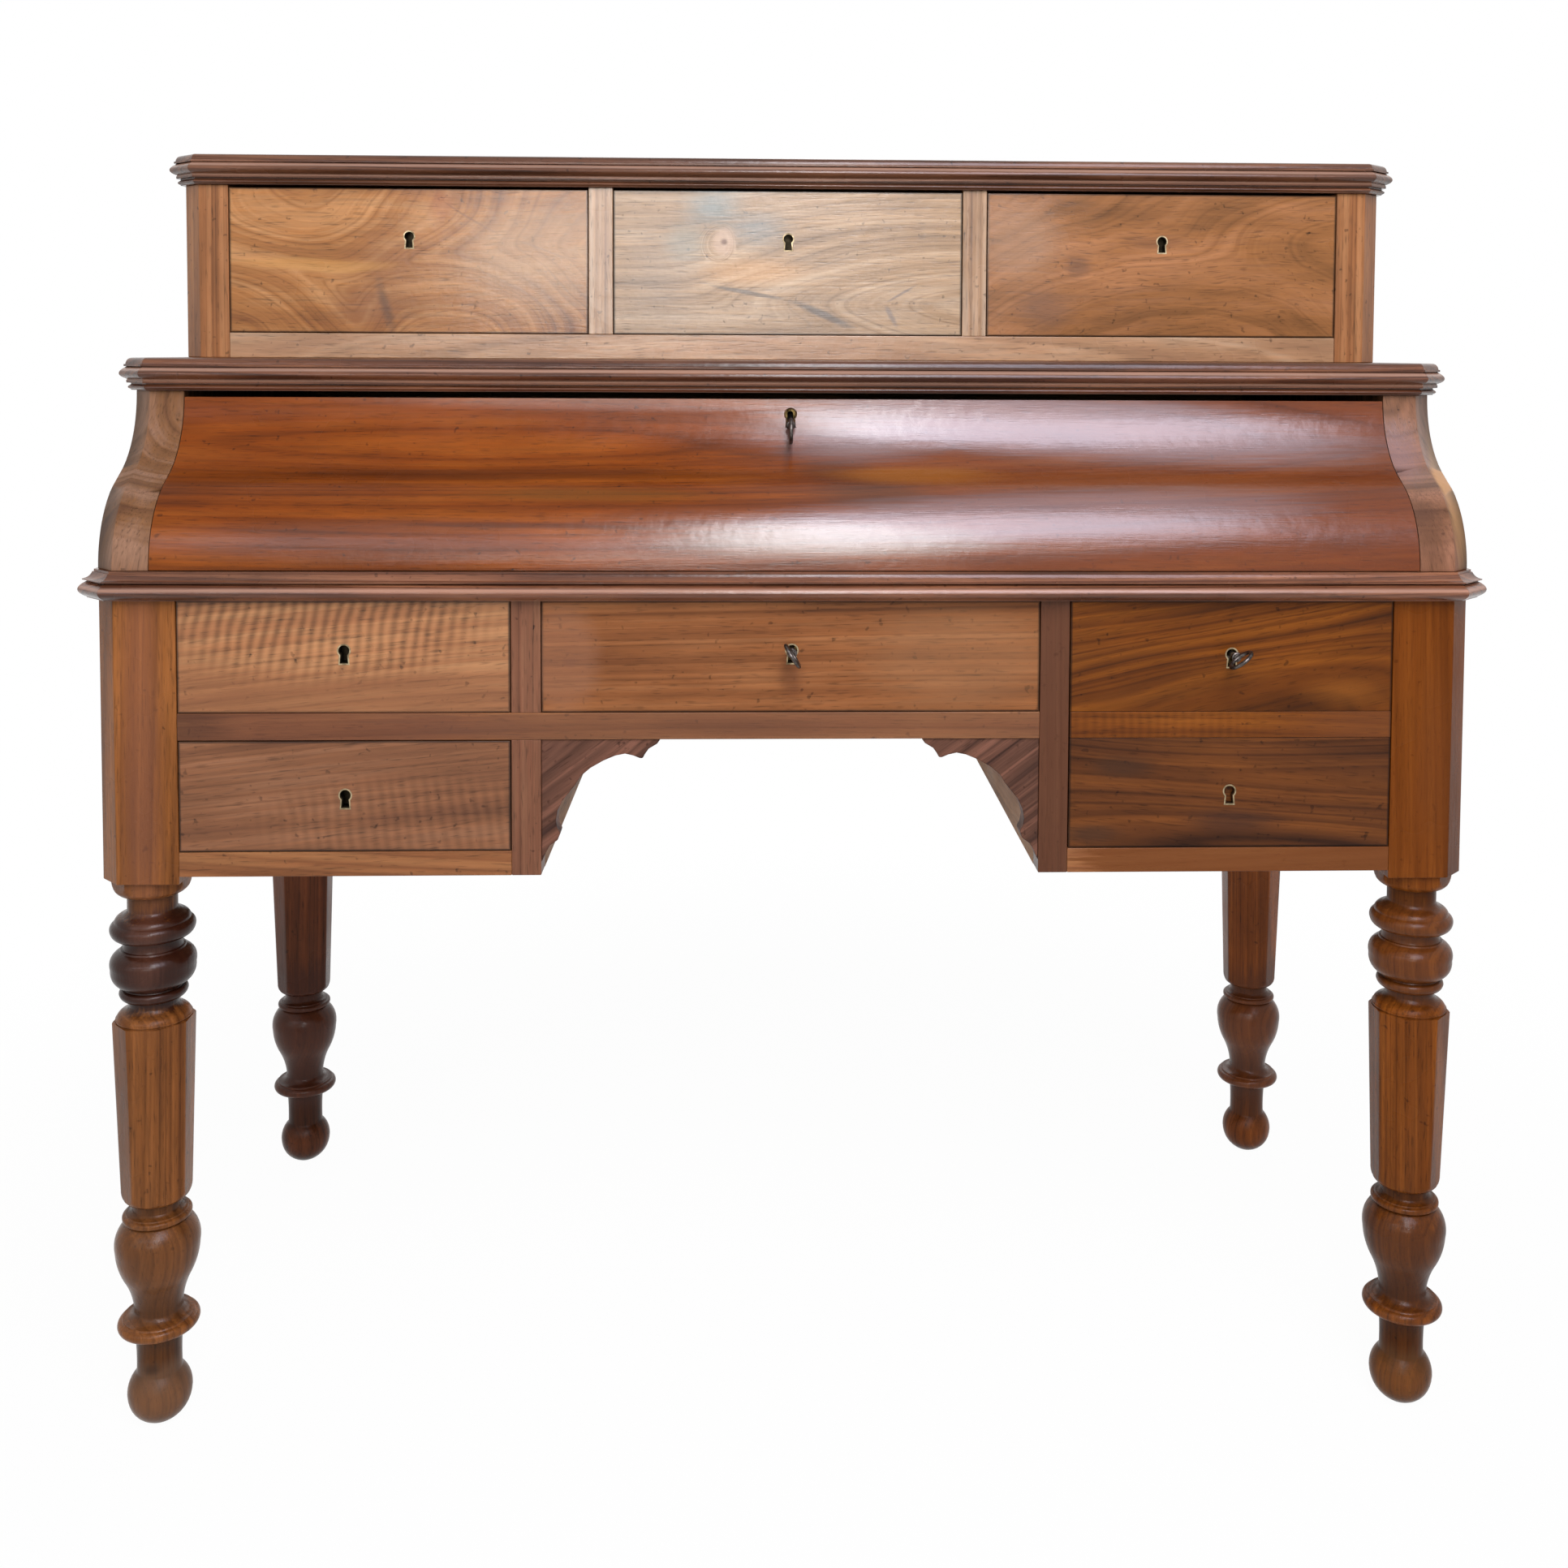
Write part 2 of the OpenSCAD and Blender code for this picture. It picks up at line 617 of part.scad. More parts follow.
// Thick side of the writing compartment with an ogee front and a chamfered outer corner
module cheek(sx) {
  steps = 24;
  color("peru") mirror([sx < 0 ? 1 : 0, 0, 0]) difference() {
    loft([for (i = [0:steps])
      let (z = cheek_h * i / steps, y = y_front + ogee_depth(z), h = z_table + z)
      [
        [x_cheek, y, h], [half_w - chamfer, y, h], [half_w, y + chamfer, h],
        [half_w, y_back, h], [x_cheek, y_back, h]
      ]]);
    board(
      x_cheek - over, x_cheek + plate_t,
      y_pivot - pivot_d - lock_fit, y_pivot + plate_reach + lock_fit,
      z_pivot - pivot_d - lock_fit, z_pivot + pivot_d + lock_fit
    );
    at_screws() cylinder(d = screw_d, h = screw_l);
  }
}

// Both screws of the right pivot plate, with their axes pointing into the cheek
module at_screws() {
  for (z = [-pivot_d / 2, pivot_d / 2])
    translate([x_cheek, y_pivot + plate_reach - pivot_d / 2, z_pivot + z]) rotate([0, 90, 0]) children();
}

module countersunk_screw(fit) {
  cylinder(d = screw_d + 2 * fit, h = screw_l);
  cylinder(d1 = 2 * screw_d + 2 * fit, d2 = screw_d + 2 * fit, h = screw_d / 2);
}

// Plates let into the cheeks, each with the bore that a pivot turns in
module pivot_plates() {
  color("goldenrod") both_sides() difference() {
    board(
      x_cheek, x_cheek + plate_t,
      y_pivot - pivot_d, y_pivot + plate_reach,
      z_pivot - pivot_d, z_pivot + pivot_d
    );
    translate([x_cheek - over, y_pivot, z_pivot]) rotate([0, 90, 0])
      cylinder(r = pivot_d / 2 + pivot_fit, h = plate_t + 2 * over);
    at_screws() countersunk_screw(pivot_fit);
  }
}

module pivot_screws() {
  color("dimgray") both_sides() at_screws() countersunk_screw(0);
}

module upper_back() {
  color("sienna") board(-x_cheek, x_cheek, y_inner_back, y_back, z_table, z_waist);
}

module waist_board() {
  color("sienna") difference() {
    translate([0, 0, z_waist]) linear_extrude(waist_t) polygon(slab_plan(y_cheek_top));
    bolt_mortise(0, panel_bolt_y(), z_waist);
  }
}

module waist_moulding() {
  color("maroon") moulding(y_cheek_top, z_waist, top_section(waist_t, waist_over));
}

module gradin_posts() {
  color("peru") both_sides() translate([0, 0, z_gradin]) linear_extrude(z_cornice - z_gradin) polygon([
    [x_gradin_post, y_gradin], [half_w - chamfer, y_gradin], [half_w, y_gradin + chamfer],
    [half_w, y_gradin + gradin_post_w], [x_gradin_post, y_gradin + gradin_post_w]
  ]);
}

module gradin_sides() {
  color("sienna") both_sides()
    board(half_w - side_t, half_w, y_gradin + gradin_post_w, y_inner_back, z_gradin, z_cornice);
}

module gradin_rail() {
  color("peru") board(-x_gradin_post, x_gradin_post, y_gradin, y_gradin + rail_d, z_gradin, z_deck);
}

module gradin_stiles() {
  color("peru") both_sides()
    board(x_gradin_mid, x_gradin_side, y_gradin, y_gradin + rail_d, z_deck, z_cornice);
}

// Deck that the upper drawers slide on, the partitions between them and the guides beside them
module gradin_partitions() {
  color("burlywood") {
    board(-x_gradin_post, x_gradin_post, y_gradin + rail_d, y_inner_back, z_deck - dust_t, z_deck);
    both_sides() {
      board(x_gradin_mid, x_gradin_side, y_gradin + rail_d, y_inner_back, z_deck + glue, z_cornice);
      board(
        x_gradin_post + glue, half_w - side_t,
        y_gradin + gradin_post_w, y_inner_back, z_deck - dust_t, z_deck + guide_h
      );
    }
  }
}

module gradin_back() {
  color("sienna") board(-half_w, half_w, y_inner_back, y_back, z_gradin, z_cornice);
}

module cornice_board() {
  color("sienna") difference() {
    translate([0, 0, z_cornice]) linear_extrude(cornice_t) polygon(slab_plan(y_gradin));
    for (d = [GRADIN_LEFT, GRADIN_MID, GRADIN_RIGHT]) bolt_mortise(mid_x(d), bolt_y(y_gradin), z_cornice);
  }
}

module cornice_moulding() {
  color("maroon") moulding(y_gradin, z_cornice, top_section(cornice_t, cornice_over));
}

// Outline of a keyhole: a round top over a foot that widens downwards, grown by a margin
module keyhole(margin) {
  wall = liner_wall - margin;
  waist = liner_waist_w / 2 - wall;
  foot = liner_foot_w / 2 - wall;
  drop = liner_drop - wall;
  circle(d = liner_d - 2 * wall);
  polygon([[-waist, 0], [-foot, -drop], [foot, -drop], [waist, 0]]);
}

// Keyhole through a front from y inwards
module keyhole_bore(x, y, z, depth, margin) {
  translate([x, y + depth, z]) rotate([90, 0, 0]) linear_extrude(depth) keyhole(margin);
}

// Brass liner of a keyhole
module liner(x, y, z) {
  difference() {
    keyhole_bore(x, y, z, liner_depth, liner_wall);
    keyhole_bore(x, y - over, z, liner_depth + 2 * over, 0);
  }
}

// Lock case: an open-topped hollow box with a hole for the key in its front wall
module lock_case(x, y, z, top) {
  foot = z - lock_below;
  difference() {
    board(x - lock_w / 2, x + lock_w / 2, y, y + lock_t, foot, top);
    board(
      x - bolt_w / 2 - bolt_gap - bit_room, x + bolt_w / 2 + bolt_gap + bit_room,
      y + lock_wall, y + lock_t - lock_wall, foot + lock_wall, top - lock_wall
    );
    board(
      x - bolt_w / 2 - bolt_gap, x + bolt_w / 2 + bolt_gap,
      y + lock_t - lock_wall - 2 * bolt_gap - bolt_t, y + lock_t - lock_wall, top - 2 * lock_wall, top + over
    );
    keyhole_bore(x, y - over, z, lock_wall + 2 * over, 0);
  }
}

// Lock bolt, drawn back level with the lock's top
module bolt(x, y, z, top) {
  board(
    x - bolt_w / 2, x + bolt_w / 2,
    y + lock_t - lock_wall - bolt_gap - bolt_t, y + lock_t - lock_wall - bolt_gap,
    z - lock_below + lock_wall + foot_room, top
  );
}

// Key along Y with its shank's end at y_end and its bow out at y_tip
module key(y_tip, y_end, turn) {
  n = 36;
  bow = [for (i = [0:n - 1]) [bow_w / 2 * cos(360 * i / n), bow_l / 2 * sin(360 * i / n)]];
  eye = [for (i = [0:n - 1])
    [(bow_w / 2 - bow_rim) * cos(360 * i / n), (bow_l / 2 - bow_rim) * sin(360 * i / n)]];
  color("dimgray") rotate([0, turn, 0]) {
    translate([0, y_tip + bow_l / 2, 0]) rotate([0, 90, 0]) linear_extrude(bow_t, center = true)
      difference() {
        polygon(bow);
        polygon(eye);
      }
    translate([0, y_tip + bow_l - bow_rim / 2, 0]) rotate([-90, 0, 0])
      cylinder(d = shank_d, h = y_end - y_tip - bow_l + bow_rim / 2);
    translate([0, y_tip + bow_l + key_collar_gap, 0]) rotate([-90, 0, 0])
      cylinder(d = shank_d + 2 * key_collar_w, h = key_collar_l);
  }
}

// Bit at the inner end of a key's shank, pointing down when the key went in
module key_bit(y_end, length, reach) {
  color("dimgray") board(-bit_t / 2, bit_t / 2, y_end - length, y_end, -reach, 0);
}

// Front of a drawer with its keyhole and the pocket behind it for the lock
module drawer_front(d, false_hole = 0) {
  x = mid_x(d);
  y = d[4];
  top = top_z(d);
  color("chocolate") difference() {
    board(d[0] + drawer_gap, d[1] - drawer_gap, y, y + front_t, d[2] + slide_gap, top);
    keyhole_bore(x, y - over, key_z(d), front_t, liner_wall + lock_fit / 2);
    board(
      x - lock_w / 2 - lock_fit, x + lock_w / 2 + lock_fit,
      y + front_t - lock_t - lock_fit, y + front_t + over,
      key_z(d) - lock_below - lock_fit, top + over
    );
    if (false_hole > 0)
      keyhole_bore(x, y - over, false_hole, liner_depth + 1.5 * over, liner_wall + lock_fit / 2);
  }
}

// Sides, back and bottom of a drawer, parted by glue lines
module drawer_box(d) {
  x0 = d[0] + drawer_gap;
  x1 = d[1] - drawer_gap;
  y0 = d[4] + front_t;
  y1 = d[4] + d[5];
  z0 = d[2] + slide_gap;
  z1 = top_z(d) - drawer_side_drop;
  t = drawer_side_t;
  color("burlywood") {
    board(x0, x0 + t, y0, y1, z0, z1);
    board(x1 - t, x1, y0, y1, z0, z1);
    board(x0 + t + glue, x1 - t - glue, y1 - t, y1, z0, z1);
    board(
      x0 + t + glue, x1 - t - glue, y0, y1 - t - glue,
      z0 + bottom_rise, z0 + bottom_rise + drawer_bottom_t
    );
  }
}

// Lock of a drawer with its keyhole liner; an unkeyed lock also holds its bolt
module drawer_lock(d, bolt_in, false_hole = 0) {
  x = mid_x(d);
  y = d[4] + front_t - lock_t;
  color("goldenrod") {
    lock_case(x, y, key_z(d), top_z(d));
    liner(x, d[4], key_z(d));
    if (bolt_in) bolt(x, y, key_z(d), top_z(d));
    if (false_hole > 0) liner(x, d[4], false_hole);
  }
}

module drawer_bolt(d) {
  color("darkgoldenrod") bolt(mid_x(d), d[4] + front_t - lock_t, key_z(d), top_z(d));
}

// Key of a drawer, with its bit in front of the bolt
module drawer_key(d, turn) {
  y_end = bolt_y(d[4]) - key_gap;
  translate([mid_x(d), 0, key_z(d)]) {
    key(d[4] - key_stand, y_end, turn);
    key_bit(y_end, bit_l, bit_reach);
  }
}

// Where the cylinder's bolt stands, just behind the middle of the panel's top edge
function panel_lock_y() = lock_top_y + panel_t - lock_t;
function panel_bolt_y() = panel_lock_y() + lock_t - lock_wall - bolt_gap - bolt_t;

// Ogee face set back by a depth along its normal, from height foot to height top
function ogee_face(depth, foot, top, n = 16) =
  let (
    low_r = arc_r - depth, high_r = arc_r + depth,
    a0 = asin(foot / low_r), b0 = asin((cheek_h - top) / high_r)
  )
  concat(
    [for (i = [0:n]) let (a = a0 + (arc_angle - a0) * i / n) [arc_r - low_r * cos(a), low_r * sin(a)]],
    [for (i = [1:n]) let (b = arc_angle - (arc_angle - b0) * i / n)
      [cheek_back - arc_r + high_r * cos(b), cheek_h - high_r * sin(b)]]
  );

module along_width(x0, x1) {
  translate([x0, y_front, z_table]) rotate([90, 0, 90]) linear_extrude(x1 - x0) children();
}

module cylinder_panel() {
  color("chocolate") difference() {
    along_width(panel_gap - x_cheek, x_cheek - panel_gap) {
      front = ogee_face(0, panel_gap, panel_top);
      back = ogee_face(panel_t, panel_gap, panel_top);
      polygon(concat(front, [for (i = [len(back) - 1:-1:0]) back[i]]));
    }
    board(
      -lock_w / 2 - lock_fit, lock_w / 2 + lock_fit,
      panel_lock_y() - lock_fit, panel_lock_y() + 3 * panel_t,
      panel_key_z - lock_below - lock_fit, z_waist
    );
    keyhole_bore(0, panel_key_y - 2 * panel_t, panel_key_z, 3 * panel_t, liner_wall + lock_fit / 2);
  }
}

// Quadrant arms glued behind the panel's ends, each with a heel that stops it when open
module cylinder_arms() {
  foot = pivot_up - pivot_d;
  high = panel_top - panel_keyhole_down - lock_below;
  drop = pivot_up - heel_gap;
  down = [sin(open_angle), -cos(open_angle)];
  along = [cos(open_angle), sin(open_angle)];
  heel = [for (rise = [0, heel_h]) [pivot_back, pivot_up] + drop * down + rise * along];
  face = ogee_face(panel_t + glue, foot, high);
  color("burlywood") both_sides() difference() {
    along_width(x_cheek - panel_gap - arm_t, x_cheek - panel_gap)
      polygon(concat([[pivot_back, foot]], face, [heel[1], heel[0]]));
    translate([0, y_pivot, z_pivot]) rotate([0, 90, 0]) cylinder(r = pivot_d / 2 + glue, h = half_w);
  }
}

// Pins fixed in the arms that turn in the pivot plates
module cylinder_pivots() {
  color("dimgray") both_sides() translate([x_cheek - panel_gap - arm_t, y_pivot, z_pivot]) rotate([0, 90, 0])
    cylinder(d = pivot_d, h = arm_t + panel_gap + plate_t - pin_recess);
}

module cylinder_lock() {
  color("goldenrod") {
    lock_case(0, panel_lock_y(), panel_key_z, z_table + panel_top);
    liner(0, panel_key_y, panel_key_z);
  }
}

module cylinder_bolt() {
  color("darkgoldenrod") bolt(0, panel_lock_y(), panel_key_z, z_table + panel_top);
}

// The cylinder's key droops in its lock
module cylinder_key() {
  tilt = panel_bit_reach * sin(panel_key_droop);
  reach = panel_bolt_y() - key_gap - tilt - panel_key_y;
  translate([0, panel_key_y + reach, panel_key_z]) rotate([panel_key_droop, 0, 0]) {
    key(-key_stand - reach, 0, 0);
    key_bit(0, panel_bit_l, panel_bit_reach);
  }
}

leg(-1, -1);  // leg_front_left
leg(1, -1);  // leg_front_right
leg(-1, 1);  // leg_rear_left
leg(1, 1);  // leg_rear_right
front_rails();
case_stiles();
side_panels();
pedestal_walls();
lower_back();
dust_boards();
drawer_guides();
knee_brackets();
writing_board();
table_moulding();
cheek(-1);  // cheek_left
cheek(1);  // cheek_right
upper_back();
pivot_plates();
pivot_screws();
waist_board();
waist_moulding();
gradin_posts();
gradin_sides();
gradin_rail();
gradin_stiles();
gradin_partitions();
gradin_back();
cornice_board();
cornice_moulding();
cylinder_panel();
cylinder_arms();
cylinder_pivots();
cylinder_lock();
cylinder_bolt();
cylinder_key();
drawer_front(GRADIN_LEFT);  // gradin_left_front
drawer_box(GRADIN_LEFT);  // gradin_left_box
drawer_lock(GRADIN_LEFT, true);  // gradin_left_lock
drawer_front(GRADIN_MID);  // gradin_mid_front
drawer_box(GRADIN_MID);  // gradin_mid_box
drawer_lock(GRADIN_MID, true);  // gradin_mid_lock
drawer_front(GRADIN_RIGHT);  // gradin_right_front
drawer_box(GRADIN_RIGHT);  // gradin_right_box
drawer_lock(GRADIN_RIGHT, true);  // gradin_right_lock
drawer_front(UPPER_LEFT);  // upper_left_front
drawer_box(UPPER_LEFT);  // upper_left_box
drawer_lock(UPPER_LEFT, true);  // upper_left_lock
drawer_front(LOWER_LEFT);  // lower_left_front
drawer_box(LOWER_LEFT);  // lower_left_box
drawer_lock(LOWER_LEFT, true);  // lower_left_lock
drawer_front(CENTRE);  // centre_front
drawer_box(CENTRE);  // centre_box
drawer_lock(CENTRE, false);  // centre_lock
drawer_bolt(CENTRE);  // centre_bolt
drawer_key(CENTRE, centre_key_turn);  // centre_key
drawer_front(DEEP, z_low1 - keyhole_down);  // deep_front
drawer_box(DEEP);  // deep_box
drawer_lock(DEEP, false, z_low1 - keyhole_down);  // deep_lock
drawer_bolt(DEEP);  // deep_bolt
drawer_key(DEEP, right_key_turn);  // deep_key
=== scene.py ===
from math import cos, hypot, pi, radians
import bmesh
import bpy
from mathutils import Matrix, Vector


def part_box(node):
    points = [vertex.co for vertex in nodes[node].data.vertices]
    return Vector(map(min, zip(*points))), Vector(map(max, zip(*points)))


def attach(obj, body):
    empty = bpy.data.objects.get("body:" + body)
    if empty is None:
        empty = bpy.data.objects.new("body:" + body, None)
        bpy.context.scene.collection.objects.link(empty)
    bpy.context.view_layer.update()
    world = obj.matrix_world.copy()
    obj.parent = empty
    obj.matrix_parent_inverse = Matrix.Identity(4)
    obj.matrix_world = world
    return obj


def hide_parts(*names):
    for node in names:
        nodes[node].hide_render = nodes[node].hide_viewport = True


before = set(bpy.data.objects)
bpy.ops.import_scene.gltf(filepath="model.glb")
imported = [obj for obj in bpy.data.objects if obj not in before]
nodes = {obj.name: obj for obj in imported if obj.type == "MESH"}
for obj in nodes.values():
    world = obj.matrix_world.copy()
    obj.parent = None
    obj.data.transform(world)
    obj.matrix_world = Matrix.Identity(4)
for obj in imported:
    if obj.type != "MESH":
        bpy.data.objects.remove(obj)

scene = bpy.context.scene
scene.view_settings.view_transform = "Standard"
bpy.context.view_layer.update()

# The camera stands where the photograph's did: a little left of the middle, level with the waist
# moulding, 1.44 m from the case's front. The photograph is cropped low, so its horizon lies high and
# the lens is shifted by as much.
photo_side = 1932  # pixels, as are the focal length and the point that the lens looks at
focal_length = 2029.4
axis_column, axis_row = 997.85, 538.28
eye = Vector((-0.0319, -1.7009, 0.9729))
turned, dipped, leaning = -1.865, 2.905, 0.275  # degrees
lens = bpy.data.cameras.new("camera")
lens.sensor_width = 36
lens.lens = focal_length / photo_side * lens.sensor_width
lens.shift_x = (photo_side / 2 - axis_column) / photo_side
lens.shift_y = (axis_row - photo_side / 2) / photo_side
camera = bpy.data.objects.new("camera", lens)
scene.collection.objects.link(camera)
camera.matrix_world = (Matrix.Translation(eye) @ Matrix.Rotation(radians(turned), 4, "Z")
                       @ Matrix.Rotation(radians(90 - dipped), 4, "X")
                       @ Matrix.Rotation(radians(leaning), 4, "Z"))
scene.camera = camera


def linear(code):
    """sRGB hex colour as a linear one"""
    parts = [int(code[i:i + 2], 16) / 255 for i in (1, 3, 5)]
    return [c / 12.92 if c <= 0.04045 else ((c + 0.055) / 1.055) ** 2.4 for c in parts] + [1]


def add(tree, kind, inputs=None, **settings):
    """Adds a shader node with its settings, and sets or links its inputs"""
    node = tree.nodes.new("ShaderNode" + kind)
    for key, value in settings.items():
        setattr(node, key, value)
    for socket, value in (inputs or {}).items():
        if isinstance(value, bpy.types.NodeSocket):
            tree.links.new(value, node.inputs[socket])
        else:
            node.inputs[socket].default_value = value
    return node


def material(name):
    stuff = bpy.data.materials.new(name)
    stuff.use_nodes = True
    stuff.node_tree.nodes.clear()
    return stuff, stuff.node_tree


def looked_at(tree):
    """1 where the camera sees a surface straight, in a gleam or through glass, 0 where the surface
    only throws its light on something"""
    ray = add(tree, "LightPath").outputs
    seen = add(tree, "Math", {0: ray["Is Camera Ray"], 1: ray["Is Glossy Ray"]}, operation="MAXIMUM")
    return add(tree, "Math", {0: seen.outputs[0], 1: ray["Is Transmission Ray"]},
               operation="MAXIMUM").outputs[0]


# The studio: a white paper floor and a white surround. The floor takes the desk's soft shadow, and
# what the camera sees of it is mostly the paper's own white.
shadow_reach, clear_floor, floor_reach = 0.7, 1.6, 20  # m from the desk's middle
paper, tree = material("white background paper")
seen = looked_at(tree)
where = add(tree, "TexCoord").outputs["Object"]
far = add(tree, "VectorMath", {0: where}, operation="LENGTH").outputs["Value"]
share = add(tree, "MapRange", {"Value": far, "From Min": shadow_reach, "From Max": clear_floor,
                               "To Min": 0.97, "To Max": 1.0}, interpolation_type="SMOOTHSTEP")
share = add(tree, "Math", {0: seen, 1: share.outputs[0]}, operation="MULTIPLY")
fibres = add(tree, "TexNoise", {"Vector": where, "Scale": 350.0, "Detail": 2.0})
tint = add(tree, "ValToRGB", {"Fac": fibres.outputs["Fac"]})
tint.color_ramp.elements[0].color = linear("#EFEFEE")
tint.color_ramp.elements[1].color = linear("#F4F4F3")
matt = add(tree, "BsdfDiffuse", {"Color": tint.outputs["Color"]})
glow = add(tree, "Emission", {"Color": linear("#FFFFFF"), "Strength": 1.0})
both = add(tree, "MixShader", {0: share.outputs[0], 1: matt.outputs[0], 2: glow.outputs[0]})
add(tree, "OutputMaterial", {"Surface": both.outputs[0]})
bm = bmesh.new()
bmesh.ops.create_grid(bm, x_segments=1, y_segments=1, size=floor_reach)
floor_mesh = bpy.data.meshes.new("floor")
bm.to_mesh(floor_mesh)
bm.free()
floor_mesh.materials.append(paper)
floor = bpy.data.objects.new("floor", floor_mesh)
scene.collection.objects.link(floor)

surround = bpy.data.worlds.new("white surround")
scene.world = surround
surround.use_nodes = True
tree = surround.node_tree
tree.nodes.clear()
level = add(tree, "MapRange", {"Value": looked_at(tree), "To Min": 0.25, "To Max": 1.0})
sky = add(tree, "Background", {"Color": linear("#FFFFFF"), "Strength": level.outputs[0]})
add(tree, "OutputWorld", {"Surface": sky.outputs[0]})

# Window light from high on the right: a bright pane and a dimmer one draw the broad gleams on the
# cylinder, and a long strip the thin ones along the mouldings. A lamp behind the camera gleams in the
# upper drawers, and weak ones stand on the left and behind the desk.
lamps = (  # place and size in m, power in W, colour
    ("bright pane", (0.1, -2.3, 2.3), (0.34, 1.7), 27, "#FFFFFF"),
    ("dim pane", (0.65, -2.0, 2.75), (1.15, 1.6), 48, "#F2ECFF"),
    ("front", (-0.3, -3.4, 1.26), (1.3, 0.5), 12, "#FFFCF8"),
    ("fill", (-2.6, -2.6, 1.5), (1.6, 1.6), 7, "#FFFFFF"),
    ("long strip", (-0.6, -2.6, 1.95), (3.4, 0.24), 13, "#F6F2FF"),
    ("back", (0.4, 3.2, 2.2), (2.0, 1.5), 14, "#FFFFFF"))
lit = Vector((0, 0, 0.75))
for name, place, size, power, tint in lamps:
    lamp = bpy.data.lights.new(name, "AREA")
    lamp.color = linear(tint)[:3]
    lamp.shape = "RECTANGLE"
    lamp.size, lamp.size_y = size
    lamp.energy = power
    lamp_object = bpy.data.objects.new(name, lamp)
    scene.collection.objects.link(lamp_object)
    aim = lit - Vector(place)
    lamp_object.matrix_world = (Matrix.Translation(place)
                                @ aim.to_track_quat("-Z", "Y").to_matrix().to_4x4())


# Legs: each one turned walnut post in one piece with its square corner, from the ball foot up to the
# writing board. The shaft and the collar are planed to eight sides after turning.
def wood(name, pale, tan, dark, hearts=((0, 0, 0, 9),), rise=0, turn=0, band=9, wander=18, shift=0,
         figure=0.6, lines=0.16, streaks=1.35, smoke=0.15, smoke_hex="#35281F", curl=None, gloss=0.34,
         shine=0.2, coat=None, marks=(), steady=False, polish=(), axis=None, edge=None):
    """Planed or turned timber. Sizes in mm: growth bands round each heart (x, y, z, how many times
    longer than wide, how many times tighter, how far away), the grain risen so many degrees in the
    front plane or turned about Z. marks are patches (place, size, strength, hex, core, tilt), whose
    rims sway unless steady; polish those where the shellac is whole (place, size, share, core, tilt).
    curl is ripple figure (strength, gap, lean, place, size), axis the middle of a turning, whose necks
    get painted shade, and edge the two corners of a drawer's front, in m, whose rim gets a painted
    shadow of the gap and some dirt."""
    stuff, tree = material(name)

    def reach_of(at, spot, reach_mm, tilt=0):
        """0 in the middle of a patch, 1 on its rim"""
        off = add(tree, "Mapping", {
            "Vector": at, "Location": [c / 1000 for c in spot], "Rotation": (0, radians(-tilt), 0),
            "Scale": [c / 1000 for c in reach_mm]}, vector_type="TEXTURE").outputs[0]
        return add(tree, "VectorMath", {0: off}, operation="LENGTH").outputs["Value"]

    place = add(tree, "TexCoord").outputs["Object"]
    lie = (0, radians(-rise), radians(turn))
    lay = add(tree, "Mapping", {"Vector": place, "Rotation": lie}, vector_type="TEXTURE").outputs[0]
    # Slow bends of the grain, about 150 mm long across it
    slow = add(tree, "VectorMath", {0: lay, 1: (1 / hearts[0][3], 1, 1)},
               operation="MULTIPLY").outputs[0]
    bend = add(tree, "TexNoise", {"Vector": slow, "W": shift, "Scale": 1000 / 150, "Detail": 2.0},
               noise_dimensions="4D").outputs["Color"]
    away = add(tree, "VectorMath", {0: bend, 1: (0.5, 0.5, 0.5)}, operation="SUBTRACT").outputs[0]
    # Growth bands: noise on the distance from the nearest heart, where the hearts' rings run together
    sway = wander / 1000 * 2
    run_together = 0.02
    ring = None
    for x, y, z, reach, *more in hearts:
        tight, back = more + [1, 0][len(more):]
        near = add(tree, "Mapping", {"Vector": place, "Location": (x / 1000, y / 1000, z / 1000),
                                     "Rotation": lie}, vector_type="TEXTURE").outputs[0]
        near = add(tree, "VectorMath", {0: near, 1: (1 / reach, 1, 1)},
                   operation="MULTIPLY").outputs[0]
        near = add(tree, "VectorMath", {0: away, 1: (sway, sway, sway), 2: near},
                   operation="MULTIPLY_ADD").outputs[0]
        near = add(tree, "VectorMath", {0: near}, operation="LENGTH").outputs["Value"]
        near = add(tree, "Math", {0: near, 1: tight, 2: -back / 1000},
                   operation="MULTIPLY_ADD").outputs[0]
        ring = add(tree, "Math", {0: ring, 1: near, 2: run_together},
                   operation="SMOOTH_MIN").outputs[0] if ring else near
    bands = add(tree, "TexNoise", {"W": ring, "Scale": 1000 / band, "Detail": 3.0, "Roughness": 0.6},
                noise_dimensions="1D").outputs["Fac"]
    fine = add(tree, "TexNoise", {"W": ring, "Scale": 4000 / band, "Detail": 2.0},
               noise_dimensions="1D").outputs["Fac"]
    # Fibres about 3 mm apart and finer, 80 mm long, and open pores 1.3 mm by 14 mm
    fibres_a_metre, pores_a_metre = (12, 330, 330), (70, 800, 800)
    bent = add(tree, "VectorMath", {0: away, 1: (0, 0.03, 0.03), 2: lay},
               operation="MULTIPLY_ADD").outputs[0]
    threads = add(tree, "VectorMath", {0: bent, 1: fibres_a_metre}, operation="MULTIPLY").outputs[0]
    fibre = add(tree, "TexNoise", {"Vector": threads, "Scale": 1.0, "Detail": 4.0,
                                   "Roughness": 0.7}).outputs["Fac"]
    specks = add(tree, "VectorMath", {0: bent, 1: pores_a_metre}, operation="MULTIPLY").outputs[0]
    pore = add(tree, "TexNoise", {"Vector": specks, "Scale": 1.0, "Detail": 0.0}).outputs["Fac"]
    pit = add(tree, "MapRange", {"Value": pore, "From Min": 0.62, "From Max": 0.8}).outputs[0]
